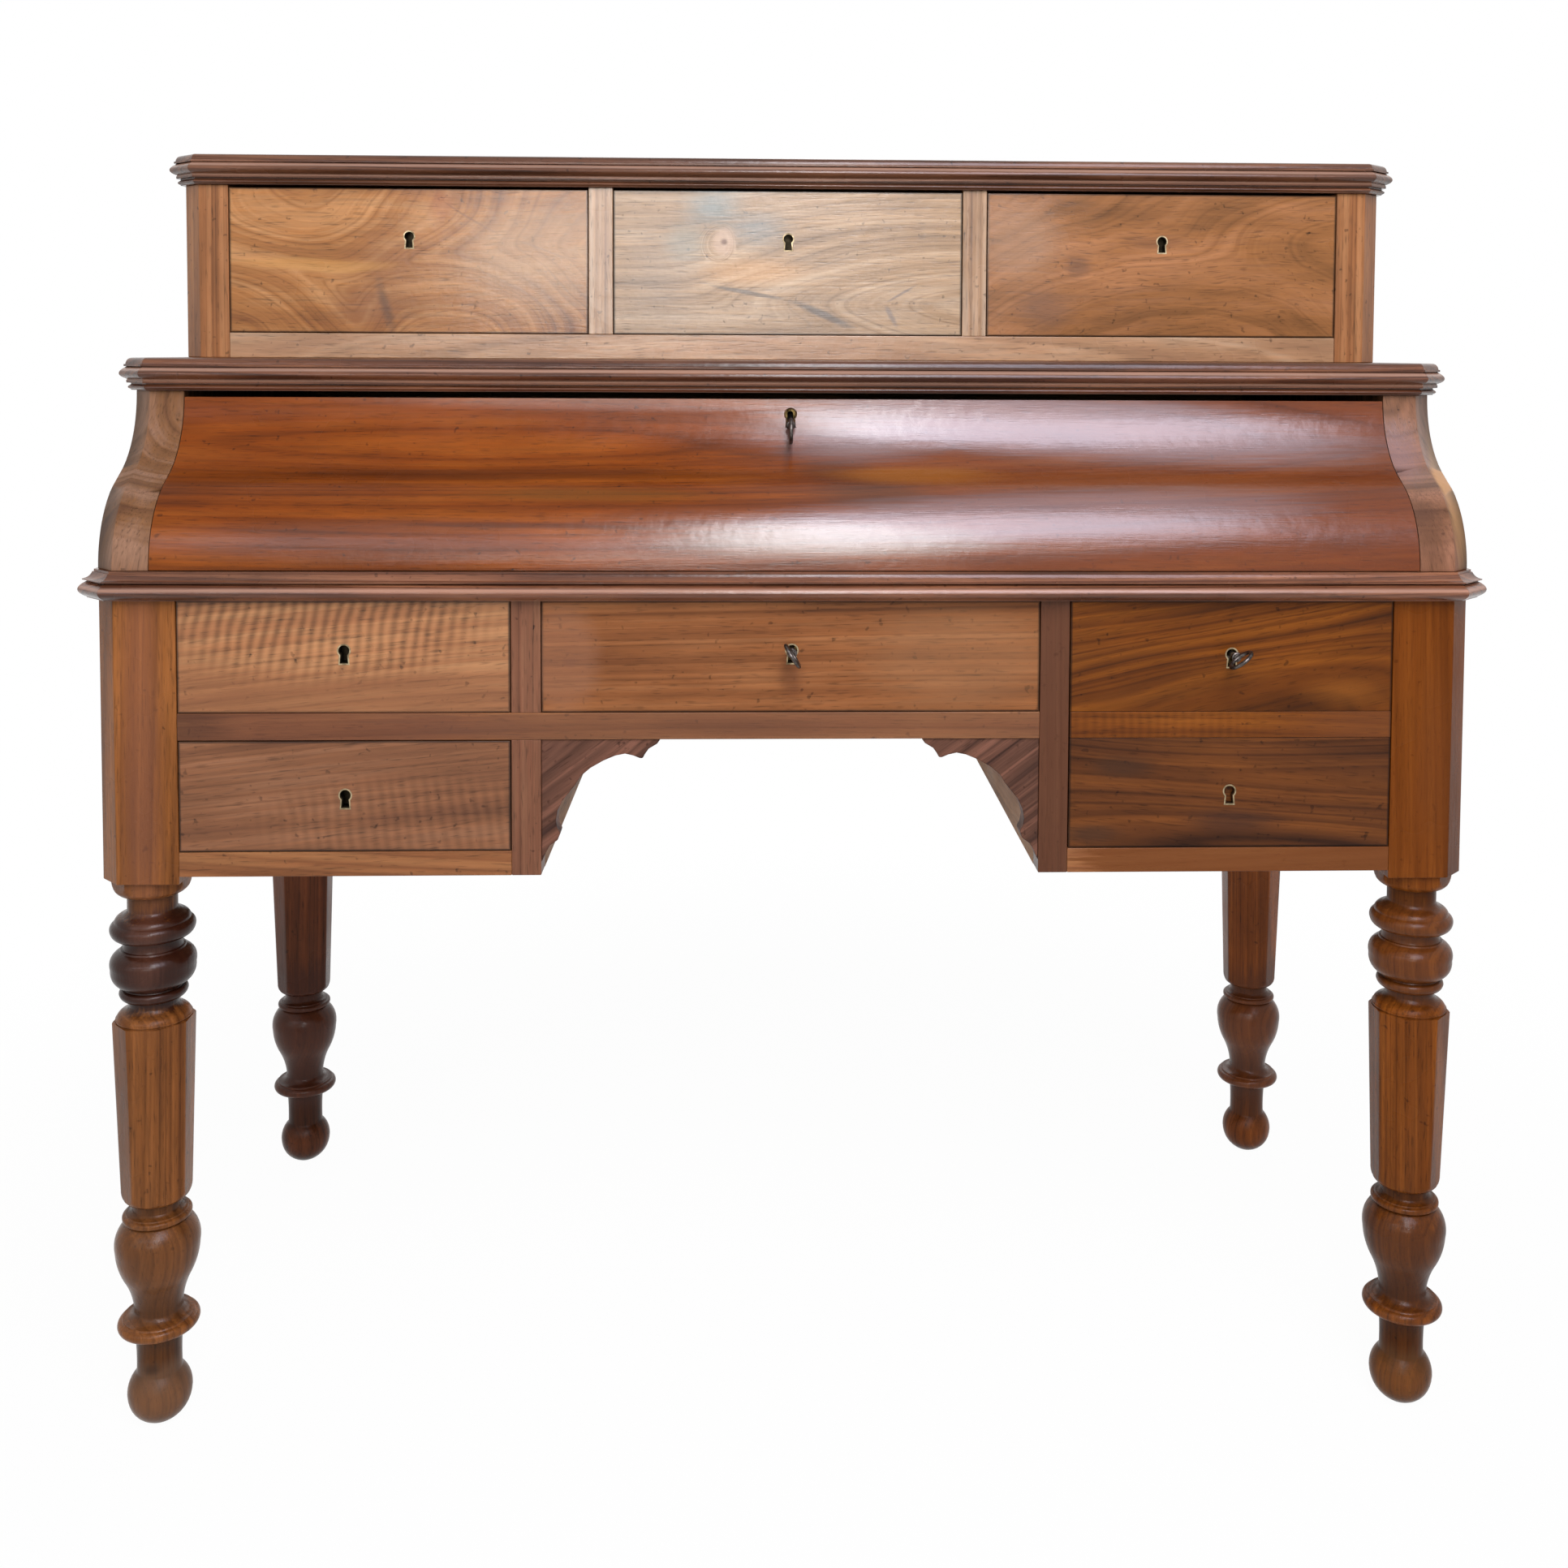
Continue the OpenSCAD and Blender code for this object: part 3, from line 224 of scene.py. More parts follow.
    # Broad drifts of colour, 200 mm long and 36 mm wide, and narrower streaks along the grain
    drifts_a_metre = (5, 28, 28)
    drift = add(tree, "VectorMath", {0: bent, 1: drifts_a_metre}, operation="MULTIPLY").outputs[0]
    cloud = add(tree, "TexNoise", {"Vector": drift, "W": shift + 5, "Scale": 1.0, "Detail": 3.0,
                                   "Roughness": 0.6}, noise_dimensions="4D").outputs["Fac"]
    grain = add(tree, "Math", {0: bands, 1: figure}, operation="MULTIPLY").outputs[0]
    grain = add(tree, "Math", {0: fibre, 1: 0.3, 2: grain}, operation="MULTIPLY_ADD").outputs[0]
    grain = add(tree, "Math", {0: cloud, 1: 0.7, 2: grain}, operation="MULTIPLY_ADD").outputs[0]
    usual, spread = figure * 0.5 + 0.5, 0.36
    ramp = add(tree, "ValToRGB", {"Fac": add(tree, "MapRange", {
        "Value": grain, "From Min": usual - spread, "From Max": usual + spread}).outputs[0]})
    ramp.color_ramp.elements[0].position = 0.25
    ramp.color_ramp.elements[0].color = linear(pale)
    ramp.color_ramp.elements[1].position = 0.85
    ramp.color_ramp.elements[1].color = linear(dark)
    ramp.color_ramp.elements.new(0.52).color = linear(tan)
    # Light and dark: growth lines, pores and fibres
    pore_shade = -0.32
    line = add(tree, "MapRange", {"Value": fine, "From Min": 0.56, "From Max": 0.74,
                                  "To Max": lines}).outputs[0]
    value = add(tree, "Math", {0: pit, 1: pore_shade, 2: 1.0}, operation="MULTIPLY_ADD").outputs[0]
    value = add(tree, "Math", {0: value, 1: line}, operation="SUBTRACT").outputs[0]
    thread = add(tree, "Math", {0: fibre, 1: 0.5}, operation="SUBTRACT").outputs[0]
    value = add(tree, "Math", {0: thread, 1: streaks, 2: value}, operation="MULTIPLY_ADD").outputs[0]
    # Flecks: small dents and spots of ink about 2 mm wide
    flecks = add(tree, "TexNoise", {"Vector": place, "Scale": 160.0, "Detail": 1.0}).outputs["Fac"]
    fleck = add(tree, "MapRange", {"Value": flecks, "From Min": 0.7, "From Max": 0.78,
                                   "To Max": 0.45}).outputs[0]
    value = add(tree, "Math", {0: value, 1: fleck}, operation="SUBTRACT").outputs[0]
    if curl:
        # Ripple figure: waves across the grain, unsteady in their gap and strong where the drifts are
        strength, gap, lean, spot, reach_mm = curl
        across = add(tree, "Mapping", {"Vector": place, "Rotation": (0, radians(lean), 0)},
                     vector_type="TEXTURE").outputs[0]
        across = add(tree, "VectorMath", {0: away, 1: (0.02, 0, 0), 2: across},
                     operation="MULTIPLY_ADD").outputs[0]
        across = add(tree, "SeparateXYZ", {0: across}).outputs["X"]
        unsteady = add(tree, "TexNoise", {"Vector": place, "Scale": 22.0, "Detail": 2.0}).outputs["Fac"]
        across = add(tree, "Math", {0: across, 1: 2000 * pi / gap}, operation="MULTIPLY").outputs[0]
        across = add(tree, "Math", {0: unsteady, 1: 5.0, 2: across},
                     operation="MULTIPLY_ADD").outputs[0]
        wave = add(tree, "Math", {0: across}, operation="SINE").outputs[0]
        wave = add(tree, "Math", {0: wave, 1: cloud}, operation="MULTIPLY").outputs[0]
        held = add(tree, "MapRange", {
            "Value": reach_of(place, spot, reach_mm), "From Min": 0.5, "From Max": 1.0,
            "To Min": strength, "To Max": 0.0}, interpolation_type="SMOOTHSTEP").outputs[0]
        value = add(tree, "Math", {0: wave, 1: held, 2: value}, operation="MULTIPLY_ADD").outputs[0]
    if edge:
        # Painted shadow of the gap round a drawer's front, with some dirt, darkens the outermost 2 mm of
        # its face
        centre, half = (edge[0] + edge[1]) / 2, (edge[1] - edge[0]) / 2
        inset = add(tree, "VectorMath", {0: place, 1: centre}, operation="SUBTRACT").outputs[0]
        inset = add(tree, "VectorMath", {0: inset}, operation="ABSOLUTE").outputs[0]
        inset = add(tree, "VectorMath", {0: half, 1: inset}, operation="SUBTRACT").outputs[0]
        from_side, from_face, from_top = add(tree, "SeparateXYZ", {0: inset}).outputs
        inset = add(tree, "Math", {0: from_side, 1: from_top}, operation="MINIMUM").outputs[0]
        inset = add(tree, "Math", {0: inset, 1: from_face}, operation="ADD").outputs[0]
        dirt_and_gap_shadow = add(tree, "MapRange", {
            "Value": inset, "From Min": 0.0006, "From Max": 0.0024, "To Min": 0.25, "To Max": 1.0},
            interpolation_type="SMOOTHSTEP").outputs[0]
        value = add(tree, "Math", {0: value, 1: dirt_and_gap_shadow}, operation="MULTIPLY").outputs[0]
    if axis:
        # Painted shade, with some old polish and dirt, darkens the necks of the turning, 20 to 31 mm
        # from its middle
        flat = add(tree, "VectorMath", {0: place, 1: (axis[0] / 1000, axis[1] / 1000, 0)},
                   operation="SUBTRACT").outputs[0]
        flat = add(tree, "VectorMath", {0: flat, 1: (1, 1, 0)}, operation="MULTIPLY").outputs[0]
        radius = add(tree, "VectorMath", {0: flat}, operation="LENGTH").outputs["Value"]
        dirt_and_neck_shade = add(tree, "MapRange", {"Value": radius, "From Min": 0.02, "From Max": 0.031,
                                       "To Min": 0.42, "To Max": 1.0}).outputs[0]
        value = add(tree, "Math", {0: value, 1: dirt_and_neck_shade}, operation="MULTIPLY").outputs[0]
    colour = add(tree, "HueSaturation", {"Color": ramp.outputs["Color"],
                                         "Value": value}).outputs["Color"]
    # Smoke and age: a darker veil in clouds 330 mm long and 60 mm wide. A colour Mix node takes its
    # two colours in sockets 6 and 7, and gives the third of its outputs.
    veils_a_metre = (3, 16, 16)
    veil = add(tree, "VectorMath", {0: bent, 1: veils_a_metre}, operation="MULTIPLY").outputs[0]
    veil = add(tree, "TexNoise", {"Vector": veil, "W": shift + 9, "Scale": 1.0, "Detail": 3.0},
               noise_dimensions="4D").outputs["Fac"]
    veil = add(tree, "MapRange", {"Value": veil, "From Min": 0.5, "From Max": 0.72,
                                  "To Max": smoke}).outputs[0]
    colour = add(tree, "Mix", {0: veil, 6: colour, 7: linear(smoke_hex)}, data_type="RGBA").outputs[2]
    rim_sway = 0.0 if steady else 0.04
    loose = add(tree, "VectorMath", {0: away, 1: (rim_sway, 0, rim_sway), 2: place},
                operation="MULTIPLY_ADD").outputs[0]
    for spot, reach_mm, strength, code, *more in marks:
        core, tilt = more + [0.2, 0][len(more):]
        far = add(tree, "Math", {0: thread, 1: 0.5, 2: reach_of(loose, spot, reach_mm, tilt)},
                  operation="MULTIPLY_ADD").outputs[0]
        near = add(tree, "MapRange", {"Value": far, "From Min": core, "From Max": 1.0,
                                      "To Min": strength, "To Max": 0.0},
                   interpolation_type="SMOOTHSTEP").outputs[0]
        colour = add(tree, "Mix", {0: near, 6: colour, 7: linear(code)}, data_type="RGBA").outputs[2]
    # Polish: smooth where it is whole, duller in patches; shallow dents 14 mm wide, fibres and
    # filled pores show under it
    patch = add(tree, "TexNoise", {"Vector": place, "Scale": 11.0, "Detail": 3.0}).outputs["Fac"]
    rough = add(tree, "MapRange", {"Value": patch, "From Min": 0.35, "From Max": 0.7,
                                   "To Min": gloss - 0.05, "To Max": gloss + 0.1}).outputs[0]
    dents = add(tree, "TexNoise", {"Vector": place, "Scale": 1000 / 14, "Detail": 2.0}).outputs["Fac"]
    relief = add(tree, "Bump", {"Height": dents, "Strength": 0.5, "Distance": 0.0006}).outputs[0]
    relief = add(tree, "Bump", {"Height": fibre, "Normal": relief, "Strength": 0.5,
                                "Distance": 0.0004}).outputs[0]
    relief = add(tree, "Bump", {"Height": pit, "Normal": relief, "Strength": 0.3, "Distance": 0.0001},
                 invert=True).outputs[0]
    finish = add(tree, "BsdfPrincipled", {
        "Base Color": colour, "Roughness": rough, "Normal": relief, "IOR": 1.5,
        "Specular IOR Level": shine, "Coat Roughness": coat or gloss - 0.1})
    whole = None
    for spot, reach_mm, share, *more in polish:
        core, tilt = more + [0.4, 0][len(more):]
        kept = add(tree, "MapRange", {
            "Value": reach_of(place, spot, reach_mm, tilt), "From Min": core, "From Max": 1.0,
            "To Min": share, "To Max": 0.0}, interpolation_type="SMOOTHSTEP").outputs[0]
        whole = add(tree, "Math", {0: whole, 1: kept},
                    operation="MAXIMUM").outputs[0] if whole else kept
    if whole:
        tree.links.new(whole, finish.inputs["Coat Weight"])
        tree.links.new(relief, finish.inputs["Coat Normal"])
    add(tree, "OutputMaterial", {"Surface": finish.outputs[0]})
    return stuff


def bowed(points):
    """Outline through (distance, height, bow) points in mm; each stretch bows outwards by its bow"""
    outline = [Vector(points[0][:2]) / 1000]
    for (x0, z0, *_), (x1, z1, bow) in zip(points, points[1:]):
        start, end = Vector((x0, z0)), Vector((x1, z1))
        side = Vector((z1 - z0, x0 - x1)).normalized()
        steps = 8 if bow else 1
        for i in range(1, steps + 1):
            t = i / steps
            outline.append((start.lerp(end, t) + side * bow * 4 * t * (1 - t)) / 1000)
    return outline


def spun(bm, points, steps=96):
    """Turns an outline round Z"""
    verts = [bm.verts.new((p[0], 0, p[1])) for p in bowed(points)]
    edges = [bm.edges.new(pair) for pair in zip(verts, verts[1:])]
    bmesh.ops.spin(bm, geom=verts + edges, cent=(0, 0, 0), axis=(0, 0, 1), angle=2 * pi, steps=steps,
                   use_merge=True)
    bmesh.ops.remove_doubles(bm, verts=bm.verts, dist=1e-6)
    bmesh.ops.recalc_face_normals(bm, faces=bm.faces)


def eased(bm, ease=0.8, least=15):
    """Takes the sharp edges off by so many mm, as a scraper does; short ones round keyholes stay"""
    edges = [e for e in bm.edges if e.is_manifold and e.calc_face_angle() > radians(30)
             and e.calc_length() > least / 1000]
    bmesh.ops.bevel(bm, geom=edges, offset=ease / 1000, offset_type="OFFSET", segments=2, profile=0.5,
                    affect="EDGES", clamp_overlap=True, material=-1)


def piece(name, bm, body, stuff, replaced=(), crease=35):
    """Makes the finished piece, hangs it on the body it rides on, gives it its finish and hides the
    nodes it stands for
    """
    mesh = bpy.data.meshes.new(name)
    bm.to_mesh(mesh)
    bm.free()
    mesh.materials.append(stuff)
    mesh.shade_smooth()
    mesh.set_sharp_from_angle(angle=radians(crease))
    made = bpy.data.objects.new(name, mesh)
    scene.collection.objects.link(made)
    made.modifiers.new("even shading", "WEIGHTED_NORMAL").keep_sharp = True
    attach(made, body)
    if replaced:
        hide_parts(*replaced)
    return made


leg_outline = [  # radius, height, bow of the stretch up to it: foot, discs, vase, shaft, bulb, collar
    (0, 0), (10.4, 0, 0), (28, 26, 4.8), (20.4, 45.4, 2.1), (19.6, 47, 0), (20.8, 84.6, -0.7),
    (24, 85.2, 0), (29.6, 85.8, 0), (35.5, 91, 1.6), (31.4, 96.2, 1.3), (30.8, 97, 0), (30.8, 98, 0),
    (20.8, 104, -2.2), (28.5, 133, -1.6), (36.5, 160, 1.6), (27.6, 186.6, 3.8), (26.6, 187.2, 0),
    (27.6, 188, 0), (30, 190.8, 0.9), (28, 193.6, 0.7), (27, 194, 0), (26.6, 195, 0), (21.5, 198, -0.7),
    (21.3, 205, 0), (30.5, 217, 3.2), (35.5, 371.4, 0), (35, 372, 0), (31.9, 372.1, 0),
    (31.9, 373.2, 0),
    (32.7, 374, 0.4), (32.1, 375, 0.3), (27, 380.4, 0.9), (21.5, 386, -0.9), (21.8, 390.6, 0),
    (23, 391.2, 0), (29.5, 397, 1.6), (25.6, 401.4, 1.2), (25, 402.6, 0), (27, 403.2, 0),
    (36.5, 420, 3.2), (29.2, 435.6, 3.4), (28.2, 436.2, 0), (27.6, 437.6, 0), (26, 438, 0),
    (25.4, 445.8, -0.5), (28, 446.6, 0), (36.5, 454.4, 2.1), (33.6, 461.4, 1.2), (32.6, 462, 0),
    (32.4, 463.4, 0), (27, 468, 0.9), (21.5, 473, -0.9), (21.5, 486, 0), (34, 498.5, 3.5), (34, 504, 0),
    (0, 504, 0)]
post_side, post_height, post_middle, post_chamfer = 0.073, 0.252, 0.63, 0.019
shaft_foot, shaft_top, collar_foot, collar_flat = 205, 372.05, 486.5, 31.4  # mm, the flat from the axis
# Each leg's look: pale, middle and dark shade, polish, and patches of older, darker polish
legs = {
    "leg_front_left": (-573.5, -223.5, ("#8E582C", "#7A4921", "#563014"), 0.12, [
        ((-573, -223, 428), (90, 90, 52), 0.96, "#260E08", 0.8),
        ((-573, -223, 145), (90, 90, 60), 0.5, "#4E3018", 0.6),
        ((-572, -260, 640), (26, 60, 320), 0.35, "#8E5C46"),
        ((-573, -223, 20), (90, 90, 45), 0.5, "#6E5440", 0.6),
        ((-580, -256, 52), (14, 30, 9), 0.8, "#2A1C14")]),
    "leg_front_right": (573.5, -223.5, ("#7F4717", "#6A3810", "#492407"), 0.08, [
        ((573, -223, 428), (90, 90, 52), 0.5, "#4E2A14", 0.8),
        ((573, -223, 145), (90, 90, 60), 0.6, "#3E2212", 0.6),
        ((580, -260, 600), (30, 60, 120), 0.35, "#6A3E22"),
        ((573, -260, 640), (80, 60, 170), 0.5, "#663206", 0.7),
        ((573, -223, 20), (90, 90, 45), 0.3, "#6E5034", 0.6)]),
    "leg_rear_left": (-573.5, 263.5, ("#733F23", "#5E321A", "#412111"), 0.12, [
        ((-573, 263, 160), (90, 90, 110), 0.7, "#3E2016", 0.7)]),
    "leg_rear_right": (573.5, 263.5, ("#925122", "#783F17", "#50290F"), 0.12, [
        ((573, 263, 150), (90, 90, 110), 0.6, "#4A2A1A", 0.7)])}
for name, (x, y, shades, shine, patches) in legs.items():
    bm = bmesh.new()
    spun(bm, leg_outline)
    # Eight flats, planed off the round of the shaft, 28.2 to 32.8 mm from the axis, and of the collar
    for v in bm.verts:
        z = v.co.z * 1000
        if shaft_foot < z < shaft_top or z > collar_foot:
            half = (28.2 + 4.6 * (z - shaft_foot) / 167 if z < 400 else collar_flat) / 1000
            about = Vector((v.co.x, v.co.y)).angle_signed(Vector((1, 0)), 0)
            turned_by = (about + radians(22.5)) % radians(45) - radians(22.5)
            flat = half / cos(turned_by)
            radius = hypot(v.co.x, v.co.y)
            if radius > flat:
                v.co.x *= flat / radius
                v.co.y *= flat / radius
    post = bmesh.ops.create_cube(bm, size=1)["verts"]
    bmesh.ops.scale(bm, vec=(post_side, post_side, post_height), verts=post)
    bmesh.ops.translate(bm, vec=(0, 0, post_middle), verts=post)
    if y < 0:
        square = {e for v in post for e in v.link_edges}
        outer = [e for e in square if all(v.co.x * x > 0 and v.co.y < 0 for v in e.verts)]
        bmesh.ops.bevel(bm, geom=outer, offset=post_chamfer, offset_type="OFFSET", segments=1,
                        profile=0.5, affect="EDGES", material=-1)
    # The post's edges are eased; what is turned stays as it is
    square = [e for e in bm.edges if e.is_manifold and e.calc_face_angle() > radians(40)
              and min(v.co.z for v in e.verts) > 0.5039
              and max(abs(c) for v in e.verts for c in v.co[:2]) > 0.0355]
    bmesh.ops.bevel(bm, geom=square, offset=0.001, offset_type="OFFSET", segments=2, profile=0.5,
                    affect="EDGES", clamp_overlap=True, material=-1)
    bmesh.ops.translate(bm, vec=(x / 1000, y / 1000, 0), verts=bm.verts)
    heart = (x + (60 if x < 0 else -70), y + 45, 300, 14)
    stuff = wood("turned walnut, " + name.replace("_", " "), *shades, [heart], rise=90, wander=14,
                 shift=x / 100 + y / 50, figure=0.8, streaks=1.7, smoke=0.3, gloss=0.27, shine=shine,
                 coat=0.1, marks=patches, axis=(x, y),
                 polish=[((x, y, 428), (90, 90, 52), 0.18, 0.8), ((x, y, 135), (90, 90, 75), 0.12, 0.7)])
    piece(name, bm, "case", stuff, [name], crease=30)


# Case frame: solid walnut rails and stiles round the drawers, with framed side panels and plain backs,
# all planed flat and polished, their edges barely eased.
def copied(node, ease=0.8, least=15):
    """The solid's own shape, its triangles joined into faces and its edges eased"""
    bm = bmesh.new()
    bm.from_mesh(nodes[node].data)
    bmesh.ops.remove_doubles(bm, verts=bm.verts, dist=0.00002)
    bmesh.ops.dissolve_limit(bm, angle_limit=radians(1), verts=bm.verts, edges=bm.edges)
    if ease:
        eased(bm, ease, least)
    return bm


rail_marks = [((-400, -260, 644), (190, 60, 30), 0.6, "#603A2A", 0.5),
              ((420, -260, 520), (180, 60, 30), 0.85, "#66360E", 0.8),
              ((-530, -260, 644), (60, 60, 30), 0.6, "#3E241A"),
              ((60, -260, 644), (460, 60, 24), 0.55, "#62402E", 0.7)]
for node, shades, grain in (
        ("front_rails", ("#96653D", "#81512F", "#623A1F"), dict(
            hearts=[(0, -170, 560, 12)], band=8, wander=10, shift=3, marks=rail_marks)),
        ("case_stiles", ("#80573E", "#6E4631", "#513120"), dict(
            rise=90, hearts=[(0, -200, 600, 12)], band=8, shift=1,
            marks=[((233, -260, 640), (40, 60, 300), 0.75, "#4A2814", 0.8)])),
        ("side_panels", ("#966038", "#7A4826", "#553018"), dict(
            turn=90, hearts=[(0, 0, 560, 6)], band=16, wander=40, figure=0.8))):
    stuff = wood("polished walnut, " + node.replace("_", " "), *shades, **grain)
    piece(node, copied(node), "case", stuff, [node])

# Inside and behind: unpolished poplar and pine boards, planed, dry and a little grey, with the
# drawers' runners, guides and dust boards glued and nailed between them.
for node, turn in (("lower_back", 0), ("upper_back", 0), ("gradin_back", 0), ("pedestal_walls", 90),
                   ("dust_boards", 90), ("drawer_guides", 90), ("gradin_partitions", 90)):
    stuff = wood("planed poplar, " + node.replace("_", " "), "#BC9470", "#A07856", "#7C593E",
                 [(90, 330, 600, 9)], turn=turn, band=16, wander=26, smoke=0.35, smoke_hex="#5E4A38",
                 gloss=0.62)
    if "back" in node:
        piece(node, copied(node), "case", stuff, [node])
    else:
        nodes[node].material_slots[0].material = stuff

# Knee brackets: sawn from 20 mm walnut with a scrolled edge and cusps, glued into the corners of the
# knee space.
stuff = wood("sawn walnut, knee brackets", "#765040", "#5A3D30", "#382620",
             [(-330, -180, 560, 5), (330, -180, 500, 5)], rise=35, band=8, smoke=0.4, gloss=0.5,
             shine=0.08, figure=0.8, marks=[((300, -250, 580), (110, 90, 120), 0.45, "#2C1C18")])
piece("knee_brackets", copied("knee_brackets", 1.2, 4), "case", stuff, ["knee_brackets"])

# Writing board: a walnut slab over the whole case, veneered inside the compartment.
stuff = wood("veneered walnut, writing board", "#8A5630", "#6E4122", "#4C2C18", [(100, 60, 700, 5)],
             band=18, wander=45, figure=0.8)
piece("writing_board", copied("writing_board", 0), "case", stuff, ["writing_board"])


# Mouldings: dark walnut strips run with a plane and mitred round the left, front and right of each
# board. The upper two have a bead, a large round and an ogee top; the table's has a half-round nose.
# Thin pale lines of painted highlight run along the proud roundings, where light from above gleams on
# them.
def sawn(bm, at, normal, keep_after):
    """Saws a shape through, keeps what lies after the cut or before it, and closes it"""
    cut = bmesh.ops.bisect_plane(bm, geom=bm.verts[:] + bm.edges[:] + bm.faces[:], plane_co=at,
                                 plane_no=normal, clear_outer=not keep_after, clear_inner=keep_after)
    rim = [g for g in cut["geom_cut"] if isinstance(g, bmesh.types.BMEdge)]
    if rim:
        bmesh.ops.edgeloop_fill(bm, edges=rim)


def joined(bm, part):
    """Adds a part's faces to a shape"""
    carried = bpy.data.meshes.new("part")
    part.to_mesh(carried)
    part.free()
    bm.from_mesh(carried)
    bpy.data.meshes.remove(carried)


def strips(name, board_y, foot, section, shades, highlight_lines):
    """Five strips round a board whose front is at board_y, from foot up, with painted highlight lines
    along them at the given heights (height, reach, colour)"""
    side, back, chamfer = 610, 300, 19
    corners = [Vector(p) / 1000 for p in (
        (-side, back, 0), (-side, board_y + chamfer, 0), (chamfer - side, board_y, 0),
        (side - chamfer, board_y, 0), (side, board_y + chamfer, 0), (side, back, 0))]
    ways = [(b - a).normalized() for a, b in zip(corners, corners[1:])]
    spare, joint = 0.03, 0.0001  # m that a strip is sawn longer by, and half of the mitre's gap
    bm = bmesh.new()
    for k, way in enumerate(ways):
        out = Vector((way.y, -way.x, 0))
        before = (ways[k - 1] + way).normalized() if k else way
        after = (ways[k + 1] + way).normalized() if k < 4 else way
        strip = bmesh.new()
        start = corners[k] - way * spare
        outline = [strip.verts.new(start + out * p[0] + Vector((0, 0, p[1] + foot / 1000)))
                   for p in bowed(section)[:-1]]
        end = strip.faces.new(outline)
        grown = bmesh.ops.extrude_face_region(strip, geom=[end])["geom"]
        length = (corners[k + 1] - corners[k]).length + 2 * spare
        bmesh.ops.translate(strip, vec=way * length,
                            verts=[g for g in grown if isinstance(g, bmesh.types.BMVert)])
        sawn(strip, corners[k] + way * joint * (k > 0), before, True)
        sawn(strip, corners[k + 1] - way * joint * (k < 4), after, False)
        bmesh.ops.recalc_face_normals(strip, faces=strip.faces)
        joined(bm, strip)
    everywhere = (5000, 5000, 5000)
    stuff = wood("dark polished walnut, " + name.replace("_", " "), *shades,
                 [(0, board_y + 60, foot + 90, 14)], band=6, wander=8, smoke=0.5, smoke_hex="#24120C",
                 gloss=0.24, figure=0.7, lines=0.22, shine=0.15, coat=0.14,
                 polish=[((0, board_y + 150, foot), everywhere, 0.4)], steady=True,
                 marks=[((0, 0, foot + up), (*everywhere[:2], reach), 0.5, code, 0.15)
                        for up, reach, code in highlight_lines])
    piece(name, bm, "case", stuff, [name], crease=28)


upper_section = [
    (0, 0), (4.4, 0, 0), (4.6, 0.6, 0), (4.8, 5, 2.4), (4.4, 5.6, 0), (4.6, 6.3, 0), (8.2, 6.7, 0),
    (8.4, 9.2, 0), (7.6, 9.6, 0), (7.8, 10.2, 0), (8.8, 21.2, 5.9), (8, 21.8, 0), (10.2, 22, 0),
    (10.2, 23.8, 0), (8.8, 24.2, 0), (1.4, 29.9, 2.2), (0, 30, 0), (0, 0, 0)]
table_section = [
    (0, 0), (8.6, 0.1, 0), (8.8, 0.6, 0), (8.8, 14.6, 7), (8.2, 15, 0), (8.4, 15.6, 0), (12.2, 16, 0),
    (12.2, 16.8, 0), (4.4, 22.8, -1.4), (3.2, 23.1, 0), (3.2, 25, 0), (0, 25, 0), (0, 0, 0)]
# Painted highlights along the top of the large round and of the bead; the table's runs along its nose
round_and_bead_highlights = [(19.5, 2.6, "#C09A84"), (9.4, 1.6, "#A88068")]
strips("table_moulding", -260, 756, table_section, ("#8C5C40", "#6C422D", "#432619"),
       [(10, 2.4, "#C49880")])
strips("waist_moulding", -163, 936, upper_section, ("#7A4E34", "#5C3724", "#381F14"), round_and_bead_highlights)
strips("cornice_moulding", -22, 1139, upper_section, ("#785038", "#5E3B28", "#3B2216"), round_and_bead_highlights)

# Cheeks: 50 mm walnut sides of the writing compartment, sawn to the cylinder's ogee in front and
# chamfered on the outer corner; brass plates and their screws are let in for the pivots. On the right
# one, daylight from the side is painted in: a lilac-grey painted reflection by its front edge and a
# golden painted highlight along its chamfer.
stuff = wood("polished walnut, left cheek", "#8A6851", "#765235", "#543727", [(-580, -60, 700, 9)],
             rise=78, band=12, figure=0.75, gloss=0.48, shine=0.1)
piece("cheek_left", copied("cheek_left"), "case", stuff, ["cheek_left"])
stuff = wood("polished walnut, right cheek", "#8E644C", "#77523A", "#523626", [(590, -60, 700, 9)],
             rise=100, band=12, shift=4, figure=0.75, gloss=0.48, shine=0.1, coat=0.25,
             polish=[((560, -200, 890), (90, 90, 90), 0.6)],
             # Painted light among these marks: the lilac-grey one is a painted reflection, the golden
             # one a painted highlight
             marks=[((566, -205, 892), (40, 60, 48), 0.5, "#94787A", 0.3),
                    ((566, -250, 815), (34, 60, 50), 0.5, "#5A3C2C", 0.4),
                    ((607, -215, 862), (14, 80, 120), 0.8, "#C4935F", 0.5)])
piece("cheek_right", copied("cheek_right"), "case", stuff, ["cheek_right"])

